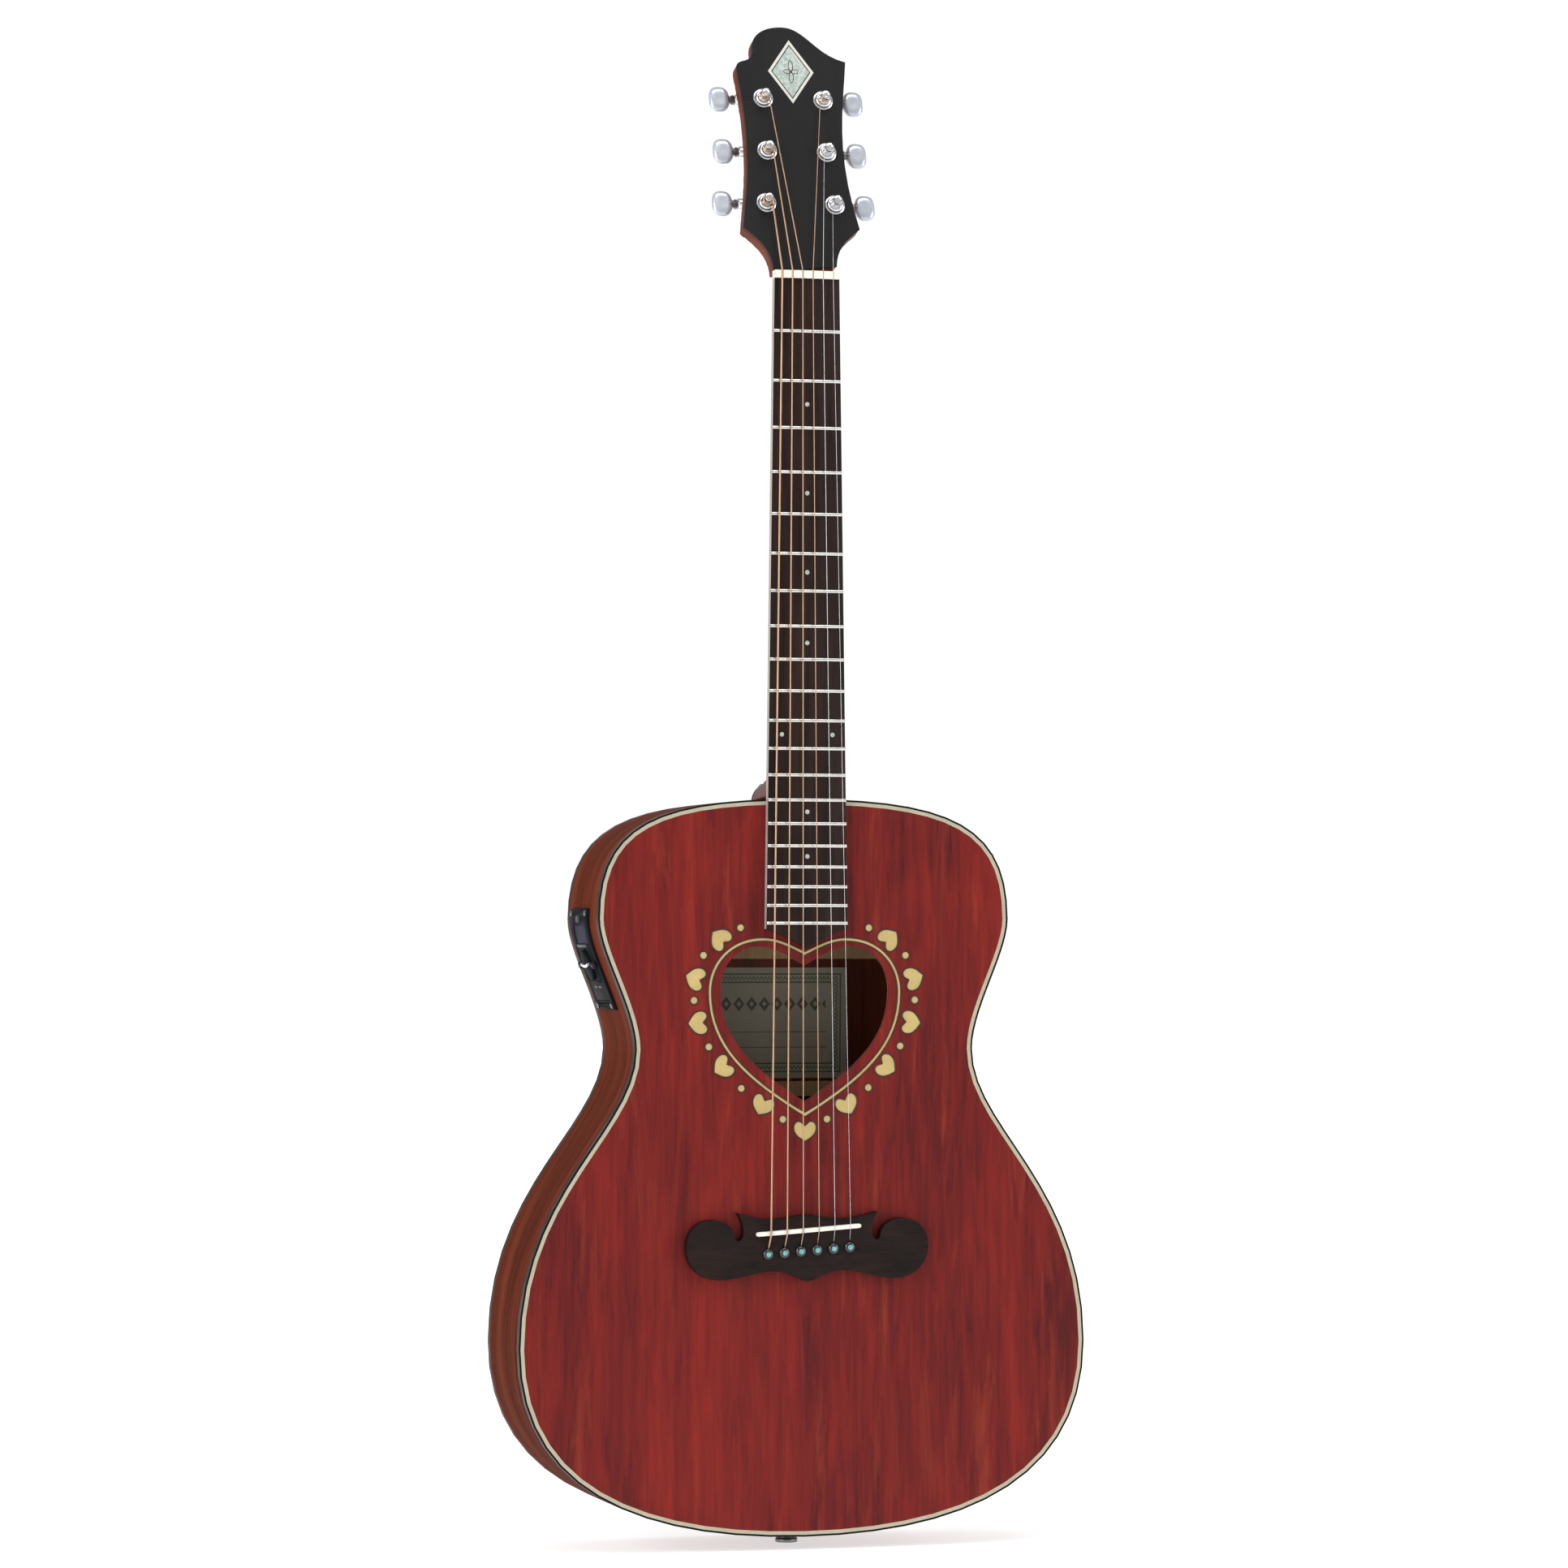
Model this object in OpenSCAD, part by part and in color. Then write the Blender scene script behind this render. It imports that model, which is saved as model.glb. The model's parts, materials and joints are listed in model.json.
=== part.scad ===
// Steel-string electro-acoustic guitar of the small folk size, 14 frets clear of the body.
// Millimetres. +Z runs up the neck to the headstock, the soundboard faces -Y and lies
// on y = 0, and +X is the treble side. The origin is on the centre line at the nut's
// playing edge, level with the glue plane under the fingerboard.

/* [Strings] */
// Open string length, nut to saddle
scale_length = 632; // [620:1:645]
// Outer string spacing at the nut
nut_spacing = 35.5; // [34:0.5:37]
// Outer string spacing at the saddle
saddle_spacing = 55; // [53:0.5:57]

/* [Body] */
// Widest part of the upper bout
upper_bout = 284; // [276:1:292]
// Narrowest part of the waist
waist = 233.5; // [226:0.5:240]
// Widest part of the lower bout
lower_bout = 391; // [384:1:398]
// Body length from the neck joint to the tail
body_length = 493.5; // [488:0.5:498]
// Depth of the body at the neck joint
neck_depth = 94; // [90:1:98]
// Depth of the body at the tail
tail_depth = 107; // [102:1:112]
// Thickness of the soundboard
top_t = 2.8; // [2.4:0.1:3.2]
// Thickness of the back
back_t = 2.8; // [2.4:0.1:3.2]
// Thickness of the bent sides
side_t = 2.4; // [2.2:0.1:2.8]

/* [Neck] */
// Width of the fingerboard at the nut
nut_width = 45; // [43:0.5:46]
// Width of the fingerboard at its last fret
end_width = 56; // [55:0.5:58]
// Thickness of the fingerboard on its centre line
board_t = 6.5; // [6:0.1:7]
// Radius of the fingerboard's crown
crown_r = 400; // [300:10:500]
// Number of frets
fret_count = 20; // [18:1:20]
// Angle that the headstock leans back
head_tilt = 15.5; // [13:0.5:17]
// Thickness of the headstock with its veneer
head_t = 13; // [12.5:0.5:14]

/* [Electronics] */
// Radius of the quarter inch jack's bore
jack_r = 3.2; // [3.2:0.05:3.3]
// Diameter of the volume dial
dial_d = 21; // [18:1:22]

/* [Hidden] */
$fn = 48;

// Smallest overshoot of a cutting solid past the face that it cuts
over = 1;

function fret_z(n) = -scale_length * (1 - pow(2, -n / 12));
function mirrored(points) =
    [for (i = [len(points) - 1:-1:0]) [-points[i][0], points[i][1]]];

// A cubic curve from a to d, steered by b and c, and its direction
function curve(a, b, c, d, t) =
    pow(1 - t, 3) * a + 3 * pow(1 - t, 2) * t * b + 3 * (1 - t) * t * t * c + pow(t, 3) * d;
function curve_slope(a, b, c, d, t) =
    pow(1 - t, 2) * (b - a) + 2 * (1 - t) * t * (c - b) + t * t * (d - c);
function unit(v) = v / norm(v);
function inward(v) = [v[1], -v[0]] / norm(v);
// Points along a chain of curves, each [start, handle, handle, end], moved in by inset
function chain(segments, steps, inset) = [
    for (s = segments) for (i = [0:steps - 1]) let (t = (i + 0.001) / steps)
        curve(s[0], s[1], s[2], s[3], t)
        + inset * inward(curve_slope(s[0], s[1], s[2], s[3], t))];

// ---- Body outline: treble half, from the neck joint round to the tail
body_top = fret_z(14) + 1;
body_end = body_top - body_length;
bout_z = [body_top - 80.5, body_top - 168, body_top - 365.5];
bout_x = [upper_bout / 2, waist / 2, lower_bout / 2];
body_segments = [
    [[0, body_top], [102, body_top], [bout_x[0], bout_z[0] + 63], [bout_x[0], bout_z[0]]],
    [[bout_x[0], bout_z[0]], [bout_x[0], bout_z[0] - 23], [bout_x[1], bout_z[1] + 27],
        [bout_x[1], bout_z[1]]],
    [[bout_x[1], bout_z[1]], [bout_x[1], bout_z[1] - 53], [bout_x[2], bout_z[2] + 106],
        [bout_x[2], bout_z[2]]],
    [[bout_x[2], bout_z[2]], [bout_x[2], bout_z[2] - 91], [117, body_end], [0, body_end]]];
function body_points(inset) =
    let (half = concat(chain(body_segments, 14, inset), [[0, body_end + inset]]))
    concat(half, mirrored(half));
module body_shape(inset) { polygon(body_points(inset)); }
module body_ring(outer, inner) {
    difference() {
        body_shape(outer);
        body_shape(inner);
    }
}
function body_depth(z) = neck_depth + (tail_depth - neck_depth) * (body_top - z) / body_length;

// Widths of the edge trim, measured in from the side of the body
binding_t = 1.3;
binding_h = 6.5;
purfling_w = 2.4;
purfling_t = 1.2;
lining_w = 6;
lining_h = 14;
brace_w = 8;

// A shape drawn on x and z becomes a solid between two values of y
module lay(y_low, y_high) {
    translate([0, y_high, 0]) rotate([90, 0, 0]) linear_extrude(y_high - y_low) children();
}
// The space between two surfaces that follow the back, as distances from its outer face
module along_back(low, high) {
    z_ends = [body_top + 60, body_end - 60];
    rotate([90, 0, 90]) linear_extrude(lower_bout + 60, center = true) polygon([
        [body_depth(z_ends[0]) + low, z_ends[0]], [body_depth(z_ends[0]) + high, z_ends[0]],
        [body_depth(z_ends[1]) + high, z_ends[1]], [body_depth(z_ends[1]) + low, z_ends[1]]]);
}
module box(low, high) { translate(low) cube(high - low); }
// A round bar between two points
module rod(from, to, r) {
    v = to - from;
    translate(from) rotate([0, acos(v[2] / norm(v)), atan2(v[1], v[0])])
        cylinder(h = norm(v), r = r);
}

// ---- Heart shapes: cleft at the top, tip at the bottom
function heart_segments(half_w, side_z, lobe, cleft_z, tip_z) = let (x = lobe[0], z = lobe[1]) [
    [[0, cleft_z], [x * 0.35, cleft_z + (z - cleft_z) * 0.5], [x * 0.62, z], [x, z]],
    [[x, z], [x + (half_w - x) * 0.6, z], [half_w, side_z + (z - side_z) * 0.55], [half_w, side_z]],
    [[half_w, side_z], [half_w, side_z + (tip_z - side_z) * 0.45],
        [half_w * 0.6, tip_z - (tip_z - side_z) * 0.29], [0, tip_z]]];
function heart_points(segments, inset, steps) =
    let (half = [for (p = chain(segments, steps, inset)) if (p[0] > 0) p],
         top = segments[0][0] - [0, inset * 1.3], tip = segments[2][3] + [0, inset * 1.3])
    concat([top], half, [tip], mirrored(half));
hole_heart = heart_segments(58.2, -478, [32, -448.6], -461.2, -552.4);
ring_heart = heart_segments(66.8, -479, [29, -442.6], -451.8, -562.6);
ring_w = 2.4;
inlay_t = 0.8;
small_heart = heart_segments(8, 1.8, [4.3, 6.3], 3.4, -7.4);
// Treble-side centres of the small hearts, from the fingerboard round to the tip
heart_places = [[58.5, -443.5], [75.5, -470], [73.5, -499.5], [56.5, -529], [29.2, -554.5]];
tip_heart_z = -571.8;
// Treble-side centres of the dots between them
dot_places = [[44.5, -436], [70, -454.5], [76.5, -484.5], [66.3, -515.5], [44, -543.3],
    [15.3, -564.2]];
rosette_centre_z = -495;
dot_r = 2.8;
module rosette_shape() {
    for (side = [-1, 1]) {
        for (p = heart_places)
            translate([side * p[0], p[1]])
                rotate(atan2(p[1] - rosette_centre_z, side * p[0]) + 90)
                polygon(heart_points(small_heart, 0, 6));
        for (p = dot_places) translate([side * p[0], p[1]]) circle(r = dot_r);
    }
    translate([0, tip_heart_z]) polygon(heart_points(small_heart, 0, 6));
}
module ring_shape() {
    difference() {
        polygon(heart_points(ring_heart, 0, 16));
        polygon(heart_points(ring_heart, ring_w, 16));
    }
}

// ---- Bridge: treble half of the outline, from the top centre round to the lower point
bridge_t = 8.5;
bridge_segments = [
    [[0, -627.5], [8, -628], [14, -630.5], [24, -630.5]],
    [[24, -630.5], [34, -630.5], [40, -628], [48.5, -626]],
    [[48.5, -626], [45.5, -630], [43.5, -636], [44.5, -641.5]],
    [[44.5, -641.5], [45.2, -645], [49.5, -646.5], [50.2, -642.5]],
    [[50.2, -642.5], [50.5, -636], [57, -630.5], [66, -630.5]],
    [[66, -630.5], [76, -630.5], [83.5, -638.5], [83.5, -649]],
    [[83.5, -649], [83.5, -661], [74, -670.8], [61, -670.8]],
    [[61, -670.8], [46, -670.8], [38, -665.2], [24, -665.2]],
    [[24, -665.2], [13, -665.2], [8, -670], [0, -672.3]]];
module bridge_shape() {
    half = [for (p = chain(bridge_segments, 7, 0)) if (p[0] > 0) p];
    polygon(concat([bridge_segments[0][0]], half, [bridge_segments[8][3]], mirrored(half)));
}

// ---- Strings, numbered from the low E on the bass side
string_r = [0.67, 0.53, 0.41, 0.3, 0.2, 0.15];
nut_len = 5.2;
fret_h = 1.1;
string_y_nut = -board_t - fret_h - 0.4;
saddle_top_y = -12.6;
saddle_ends = [[-34.6, -640.4], [34.8, -635.4]];
// The string set stands this far to the treble side at the saddle, and half that at the pins
string_shift = 1;
saddle_t = 3;
saddle_angle = atan2(saddle_ends[1][1] - saddle_ends[0][1], saddle_ends[1][0] - saddle_ends[0][0]);
function share(i) = i / 5 - 0.5;
function crown_drop(x) = x * x / (2 * crown_r);
// Everything behind a surface that is crowned like the fingerboard and peaks at y_top
module crowned(y_top, z_low, z_high) {
    arc = [for (x = [-48:4:48]) [x, y_top + crown_drop(x)]];
    translate([0, 0, z_low]) linear_extrude(z_high - z_low) polygon(concat(arc, [[48, 40], [-48, 40]]));
}
function nut_point(i) = let (x = share(i) * nut_spacing)
    [x, string_y_nut - string_r[i] + crown_drop(x), 0];
function saddle_z(x) = saddle_ends[0][1] + (x - saddle_ends[0][0]) * tan(saddle_angle);
function saddle_point(i) = let (x = share(i) * saddle_spacing + string_shift)
    [x, saddle_top_y - string_r[i] + crown_drop(x) - 0.03, saddle_z(x) - saddle_t / 2];
pin_r = 2.6;
pin_head_r = 3.7;
function pin_point(i) = let (x = share(i) * (saddle_spacing + 1.4) + string_shift / 2)
    [x, -bridge_t, -651.8 + x * tan(saddle_angle)];
// Where each string passes down the slot at its pin's neck side
function slot_point(i) = pin_point(i) + [0, 0.4, pin_r - 0.9];
plate_t = 2.5;

// ---- Headstock: x, depth behind the face, and height up the face
face_rise = 3;
veneer_t = 1.5;
module on_headstock() { translate([0, -face_rise, 0]) rotate([-head_tilt, 0, 0]) children(); }
function headstock_point(p) = [p[0],
    -face_rise + p[1] * cos(head_tilt) + p[2] * sin(head_tilt),
    p[2] * cos(head_tilt) - p[1] * sin(head_tilt)];
// Outline as one closed chain, from the nut up the bass side, over the crest and down
head_segments = [
    [[-22, 5], [-22, 17], [-27, 26], [-40.8, 36]],
    [[-40.8, 36], [-38, 60], [-29.5, 90], [-38, 152]],
    [[-38, 152], [-39, 162], [-27, 155], [-26, 166]],
    [[-26, 166], [-27.5, 179], [-16, 184.6], [-4, 184.6]],
    [[-4, 184.6], [12, 184.6], [18, 165], [39, 160.5]],
    [[39, 160.5], [35.5, 128], [26.5, 94], [40.3, 37.5]],
    [[40.3, 37.5], [29, 28], [22, 22], [22, 5]]];
module headstock_shape() { polygon(chain(head_segments, 10, 0)); }
diamond = [[0, 128.4], [-16, 152], [0, 175.2], [16, 152]];

// ---- Tuning machines: 1 to 3 up the bass side, 4 to 6 down the treble side
post_places = [[-23.9, 54.5], [-20.8, 92.8], [-21, 131.2], [21, 131.2], [20.8, 92.8], [23.9, 54.5]];
post_r = 3.1;
running_gap = 0.06;
hole_r = 4.95;
sleeve_r = 4.9;
wrap_r = 4.1;
wrap_y = -5.8;
post_tip_y = -10.4;
housing_y = [head_t, head_t + 13];
worm_y = head_t + 4.8;
worm_shift = 6;
gear_r = 4.3;
stem_r = 2.2;
screw_z = -11;
screw_r = 1.15;
screw_head_r = 2.3;
button_reach = 26;
button_size = [14.2, 7, 18.2];
function side_of(i) = post_places[i][0] < 0 ? -1 : 1;
module at_post(i) {
    on_headstock() translate([post_places[i][0], 0, post_places[i][1]])
        mirror([side_of(i) < 0 ? 1 : 0, 0, 0]) children();
}
// A round solid along the post's axis, between two depths
module post_disc(y_low, y_high, r) {
    translate([0, y_low, 0]) rotate([-90, 0, 0]) cylinder(h = y_high - y_low, r = r);
}
// A round solid along the button's stem, between two distances out from the post
module stem_disc(x_low, x_high, r) {
    translate([x_low, worm_y, worm_shift]) rotate([0, 90, 0]) cylinder(h = x_high - x_low, r = r);
}
// Where string i reaches its post's winding, on the post's inner side
function wrap_point(i) = headstock_point(
    [post_places[i][0] - side_of(i) * (wrap_r + string_r[i] + 0.05), wrap_y, post_places[i][1]]);
// Centre height of a string as it leaves the back of the nut
function nut_exit(i) = nut_point(i) + [0, 0, nut_len];

// ---- Truss rod, parallel to the neck
rod_y = 7.5;
rod_r = 2.6;
rod_hole_r = 4.6;
rod_ends = [-14, body_top - 52];
block_len = 48;
block_w = 64;
tail_block_len = 20;

// ---- Preamp, let into the bass side. Heights along z, depths along y
panel_z = [-491, -423];
panel_y = [27, 79];
panel_t = 2;
cut_in = 2;
housing_depth = 26;
display_z = [-446.5, -434.5];
display_y = [37, 69];
key_z = -430.2;
key_r = 2.6;
dial_z = -460;
dial_y = 53;
slider_y = [34, 72];
slider_z = [-471, -449];
slider_knob = [7, 4.4];
door_z = [-486.5, -472.5];
door_y = [34, 72];
door_gap = 0.35;
door_t = 1.5;
hinge_z = door_z[0] + 1.3;
cell_r = 6.2;
cell_t = 3.2;
cell_inset = 9;
cell_z = (door_z[0] + door_z[1]) / 2;
cell_y = [42.5, 63.5];
// The point and outward direction on the bass side at height z between bout and waist
function waist_t(z, low, high, n) = let (mid = (low + high) / 2)
    n == 0 ? mid : curve(body_segments[1][0], body_segments[1][1], body_segments[1][2],
        body_segments[1][3], mid)[1] > z ? waist_t(z, mid, high, n - 1)
        : waist_t(z, low, mid, n - 1);
function side_point(z) = let (s = body_segments[1], t = waist_t(z, 0, 1, 30),
    p = curve(s[0], s[1], s[2], s[3], t)) [-p[0], p[1]];
function side_turn(z) = let (s = body_segments[1], v = curve_slope(s[0], s[1], s[2], s[3],
    waist_t(z, 0, 1, 30))) atan2(v[0], -v[1]);
// Places a solid on the bass side: its own +Z points straight out of the side
module on_side(y, z) {
    p = side_point(z);
    translate([p[0], y, p[1]]) rotate([0, side_turn(z), 0]) rotate([0, -90, 0]) children();
}
// A patch that follows the bass side, between two insets, over ranges of y and z
module side_patch(outer, inner, y, z) {
    intersection() {
        lay(y[0], y[1]) body_ring(outer, inner);
        box([-upper_bout, y[0], z[0]], [0, y[1], z[1]]);
    }
}
module slider_slot(y) {
    box([-upper_bout, y - 1.2, slider_z[0]], [0, y + 1.2, slider_z[1]]);
}

// ---- End pin jack, on the centre line at the tail
jack_y = 50;
jack_body_r = 6;
jack_out = 8.5;
jack_in = 26;

// ================= Body =================
module pin_holes(y_low, y_high, r) {
    for (i = [0:5]) translate([pin_point(i)[0], y_low, pin_point(i)[2]])
        rotate([-90, 0, 0]) cylinder(h = y_high - y_low, r = r);
}
module soundboard() {
    color("firebrick") difference() {
        lay(0, top_t) difference() {
            body_shape(binding_t);
            polygon(heart_points(hole_heart, 0, 16));
        }
        lay(-over, purfling_t) body_ring(binding_t - over, binding_t + purfling_w);
        lay(-over, inlay_t) {
            ring_shape();
            rosette_shape();
        }
        pin_holes(-over, top_t + over, pin_r + 0.05);
    }
}
module back_plate() {
    color("saddlebrown") intersection() {
        lay(0, tail_depth + 10) body_shape(binding_t);
        along_back(-back_t, 0);
    }
}
module side_shell() {
    difference() {
        intersection() {
            lay(top_t, tail_depth + 10) body_ring(0, side_t);
            along_back(-tail_depth, -back_t);
        }
        lay(-over, binding_h) body_ring(-over, binding_t);
        intersection() {
            lay(0, tail_depth + 10) body_ring(-over, binding_t);
            along_back(-binding_h, over);
        }
    }
}
graft_w = 18;
tenon = [20, 62, 18];
module tenon_solid() {
    box([-tenon[0] / 2, top_t, body_top - tenon[2]], [tenon[0] / 2, top_t + tenon[1], body_top + over]);
}
module rib_bass() {
    color("sienna") difference() {
        side_shell();
        box([0, -over, body_end - over], [lower_bout, 2 * tail_depth, body_top + over]);
        box([-graft_w / 2, -over, body_end - over], [over, 2 * tail_depth, body_end + 20]);
        tenon_solid();
        box([-upper_bout, panel_y[0] + cut_in, panel_z[0] + cut_in],
            [0, panel_y[1] - cut_in, panel_z[1] - cut_in]);
    }
}
module rib_treble() {
    color("sienna") difference() {
        side_shell();
        box([-lower_bout, -over, body_end - over], [0, 2 * tail_depth, body_top + over]);
        box([-over, -over, body_end - over], [graft_w / 2, 2 * tail_depth, body_end + 20]);
        tenon_solid();
    }
}
module end_graft() {
    color("black") difference() {
        intersection() {
            side_shell();
            box([-graft_w / 2, 0, body_end - over], [graft_w / 2, 2 * tail_depth, body_end + 20]);
        }
        jack_bore(jack_body_r + 0.05);
    }
}
module top_binding() {
    color("black") difference() {
        lay(0, binding_h) body_ring(0, binding_t);
        tenon_solid();
    }
}
module top_purfling() {
    color("beige") lay(0, purfling_t) body_ring(binding_t, binding_t + purfling_w);
}
module back_binding() {
    color("black") intersection() {
        lay(0, tail_depth + 10) body_ring(0, binding_t);
        along_back(-binding_h, 0);
    }
}
module block(z_low, z_high) {
    intersection() {
        lay(top_t, tail_depth) body_shape(side_t);
        along_back(-tail_depth, -back_t);
        box([-block_w / 2, 0, z_low], [block_w / 2, tail_depth, z_high]);
    }
}
module neck_block() {
    color("peru") difference() {
        block(body_top - side_t - block_len, body_top);
        tenon_solid();
        translate([0, rod_y, body_top - block_len - 10]) cylinder(h = block_len + 20, r = rod_hole_r);
    }
}
module jack_bore(r) {
    translate([0, jack_y, body_end - jack_out - over]) cylinder(h = 60, r = r);
}
module tail_block() {
    color("peru") difference() {
        block(body_end, body_end + side_t + tail_block_len);
        jack_bore(jack_body_r + 0.05);
    }
}
module linings() {
    color("burlywood") difference() {
        intersection() {
            lay(top_t, tail_depth) body_ring(side_t, side_t + lining_w);
            union() {
                lay(top_t, top_t + lining_h) body_shape(0);
                along_back(-back_t - lining_h, -back_t);
            }
            along_back(-tail_depth, -back_t);
        }
        for (z = [body_top - 30, body_end + 30])
            translate([0, tail_depth / 2, z]) cube([block_w, 2 * tail_depth, 60], center = true);
    }
}
// A bar under the top, by its middle, its length, its height and its turn in the x-z plane
module top_bar(x, z, length, height, turn) {
    translate([x, 0, z]) rotate([0, turn, 0])
        box([-length / 2, top_t, -brace_w / 2], [length / 2, top_t + height, brace_w / 2]);
}
module inside_linings() {
    intersection() {
        children();
        lay(0, tail_depth) body_shape(side_t + lining_w + 0.2);
    }
}
x_cross_z = -588;
x_turn = 48;
// Half the room between the X's lower legs at height z
function leg_x(z) = (x_cross_z - z) / tan(x_turn) - brace_w / 2 / sin(x_turn) - 0.5;
module x_bars() {
    for (turn = [-x_turn, x_turn]) top_bar(0, x_cross_z, 480, 13, turn);
}
module x_braces() {
    color("wheat") inside_linings() x_bars();
}
module tone_bars() {
    color("wheat") inside_linings() difference() {
        union() {
            top_bar(0, -430, 250, 11, 0);
            top_bar(-20, -712, 190, 9, -18);
            top_bar(0, -762, 190, 9, -18);
            for (side = [-1, 1]) top_bar(side * 130, -650, 60, 8, side * 50);
        }
        x_bars();
    }
}
module bridge_plate() {
    color("rosybrown") difference() {
        lay(top_t, top_t + plate_t)
            polygon([for (p = [[-1, -629], [1, -629], [1, -675], [-1, -675]]) [p[0] * leg_x(p[1]), p[1]]]);
        pin_holes(0, top_t + plate_t + over, pin_r + 0.05);
    }
}
back_bar_z = [-452, -546, -660, -765];
module back_braces() {
    color("wheat") inside_linings() intersection() {
        for (z = back_bar_z) box([-lower_bout / 2, 0, z - 5], [lower_bout / 2, tail_depth, z + 5]);
        along_back(-back_t - 13, -back_t);
    }
}
module sound_hole_inlay() { color("khaki") lay(0, inlay_t) ring_shape(); }
module rosette_inlays() { color("gold") lay(0, inlay_t) rosette_shape(); }
label_low = [-51.5, -539];
label_size = [106, 76];
module label() {
    color("ivory") intersection() {
        translate([label_low[0], 0, label_low[1]]) cube([label_size[0], tail_depth, label_size[1]]);
        along_back(-back_t - 0.4, -back_t);
    }
}

// ================= Bridge and strings =================
// A slanted bar with round ends, grown on every side
module saddle_solid(grow, y_low, y_high) {
    r = saddle_t / 2 + grow;
    lay(y_low, y_high) polygon([for (end = [0:1]) for (a = [90:15:270])
        let (turn = a + saddle_angle + end * 180) saddle_ends[end] + r * [cos(turn), sin(turn)]]);
}
pickup_t = 1.2;
saddle_bed = -3;
module bridge() {
    color("#2b1c18") difference() {
        lay(-bridge_t, 0) bridge_shape();
        saddle_solid(0.02, -bridge_t - over, saddle_bed);
        pin_holes(-bridge_t - over, over, pin_r + 0.05);
        for (i = [0:5])
            rod(slot_point(i) + [0, -2.4, 5], slot_point(i) + [0, 1.8, -1], string_r[i] + 0.5);
    }
}
module saddle() {
    color("ivory") intersection() {
        saddle_solid(0, saddle_top_y - over, saddle_bed - pickup_t);
        crowned(saddle_top_y, -660, -620);
    }
}
module saddle_pickup() { color("silver") saddle_solid(-0.2, saddle_bed - pickup_t, saddle_bed); }
// Each pin is slotted on its neck side for its string
pin_len = 22;
pin_head_t = 1.2;
module bridge_pins() {
    color("#151515") for (i = [0:5]) difference() {
        translate(pin_point(i)) rotate([90, 0, 0]) {
            translate([0, 0, -pin_len]) cylinder(h = pin_len, r = pin_r);
            cylinder(h = pin_head_t, r = pin_head_r);
            translate([0, 0, pin_head_t]) intersection() {
                translate([0, 0, -3.6]) sphere(r = 5.2);
                cylinder(h = 3, r = pin_head_r);
            }
        }
        translate(pin_point(i)) box([-string_r[i] - 0.3, -1.4, pin_r - 1.8 - string_r[i]],
            [string_r[i] + 0.3, pin_len + over, pin_head_r + over]);
    }
}
string_sides = 8;
// A thin tube through a short list of points
module tube(points, r) {
    last = len(points) - 1;
    rings = [for (k = [0:last]) let (
        d = unit(points[min(k + 1, last)] - points[max(k - 1, 0)]),
        u = unit(cross(d, [1, 0.01, 0.02])), v = cross(d, u))
        for (a = [0:string_sides - 1]) let (turn = 360 * a / string_sides)
            points[k] + r * (cos(turn) * u + sin(turn) * v)];
    polyhedron(rings, concat(
        [[for (a = [0:string_sides - 1]) a]],
        [for (k = [0:last - 1]) for (a = [0:string_sides - 1]) let (b = (a + 1) % string_sides,
            n = k * string_sides) [n + a, n + string_sides + a, n + string_sides + b, n + b]],
        [[for (a = [string_sides - 1:-1:0]) last * string_sides + a]]));
}
// One string: headstock run, speaking length, run down beside the pin, and its ball end
ball_r = 2;
module string(i) {
    under = slot_point(i) + [0, bridge_t + top_t + plate_t + 0.2, 0];
    ball = pin_point(i) + [0, bridge_t + top_t + plate_t + 2, pin_r + ball_r + 0.1];
    tube([wrap_point(i), nut_exit(i), saddle_point(i), slot_point(i), under, ball], string_r[i]);
    translate(ball) rotate([-90, 0, 0]) cylinder(h = 3, r = ball_r, center = true);
}
module wound_strings() { color("peru") for (i = [0:3]) string(i); }
module plain_strings() { color("silver") for (i = [4:5]) string(i); }

// ================= Neck =================
shaft_t = [14.5, 17];
function shaft_r(half_w, t) = (half_w * half_w + t * t) / (2 * t);
module neck_shaft() {
    length = -body_top + 6;
    half = [nut_width / 2, nut_width / 2 + (end_width - nut_width) / 2 * body_top / fret_z(fret_count)];
    r = [shaft_r(half[0], shaft_t[0]), shaft_r(half[1], shaft_t[1])];
    lean = atan2(r[1] - shaft_t[1] - (r[0] - shaft_t[0]), length);
    intersection() {
        translate([0, shaft_t[0] - r[0], 6]) rotate([180 - lean, 0, 0])
            cylinder(h = length + 5, r1 = r[0], r2 = r[1], $fn = 96);
        box([-60, 0, body_top], [60, 60, 6]);
    }
}
// Black cap on the end of the heel, and the strap button screwed through it
heel_t = 2;
heel_r = [27.5, 13.5];
heel_top_z = -334;
button_z = -341.5;
module heel() {
    depth = neck_depth - heel_t;
    side = [for (i = [0:8]) curve([15, -275], [15, -322], [40, -333], [depth, heel_top_z], i / 8)];
    intersection() {
        rotate([90, 0, 90]) linear_extrude(80, center = true)
            polygon(concat([[0, -275]], side, [[depth, body_top], [0, body_top]]));
        translate([0, 0, body_top]) rotate([-90, 0, 0])
            cylinder(h = depth, r1 = heel_r[0], r2 = heel_r[1], $fn = 96);
    }
}
module neck() {
    color("brown") difference() {
        union() {
            neck_shaft();
            heel();
            tenon_solid();
            on_headstock() lay(veneer_t, head_t) headstock_shape();
        }
        box([-60, -20, -20], [60, 0, 6.02]);
        box([-3.2, -over, body_top - 30], [3.2, rod_y + 3.2, rod_ends[0]]);
        for (i = [0:5]) at_post(i) post_disc(-over, head_t + over, hole_r);
        for (i = [0:5]) at_post(i) translate([0, 0, -11]) post_disc(head_t - 8, head_t + over, 1.2);
        button_hole();
    }
}
module button_hole() {
    translate([0, neck_depth - 20, button_z]) rotate([-90, 0, 0]) cylinder(h = 30, r = 1.85);
}
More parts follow.
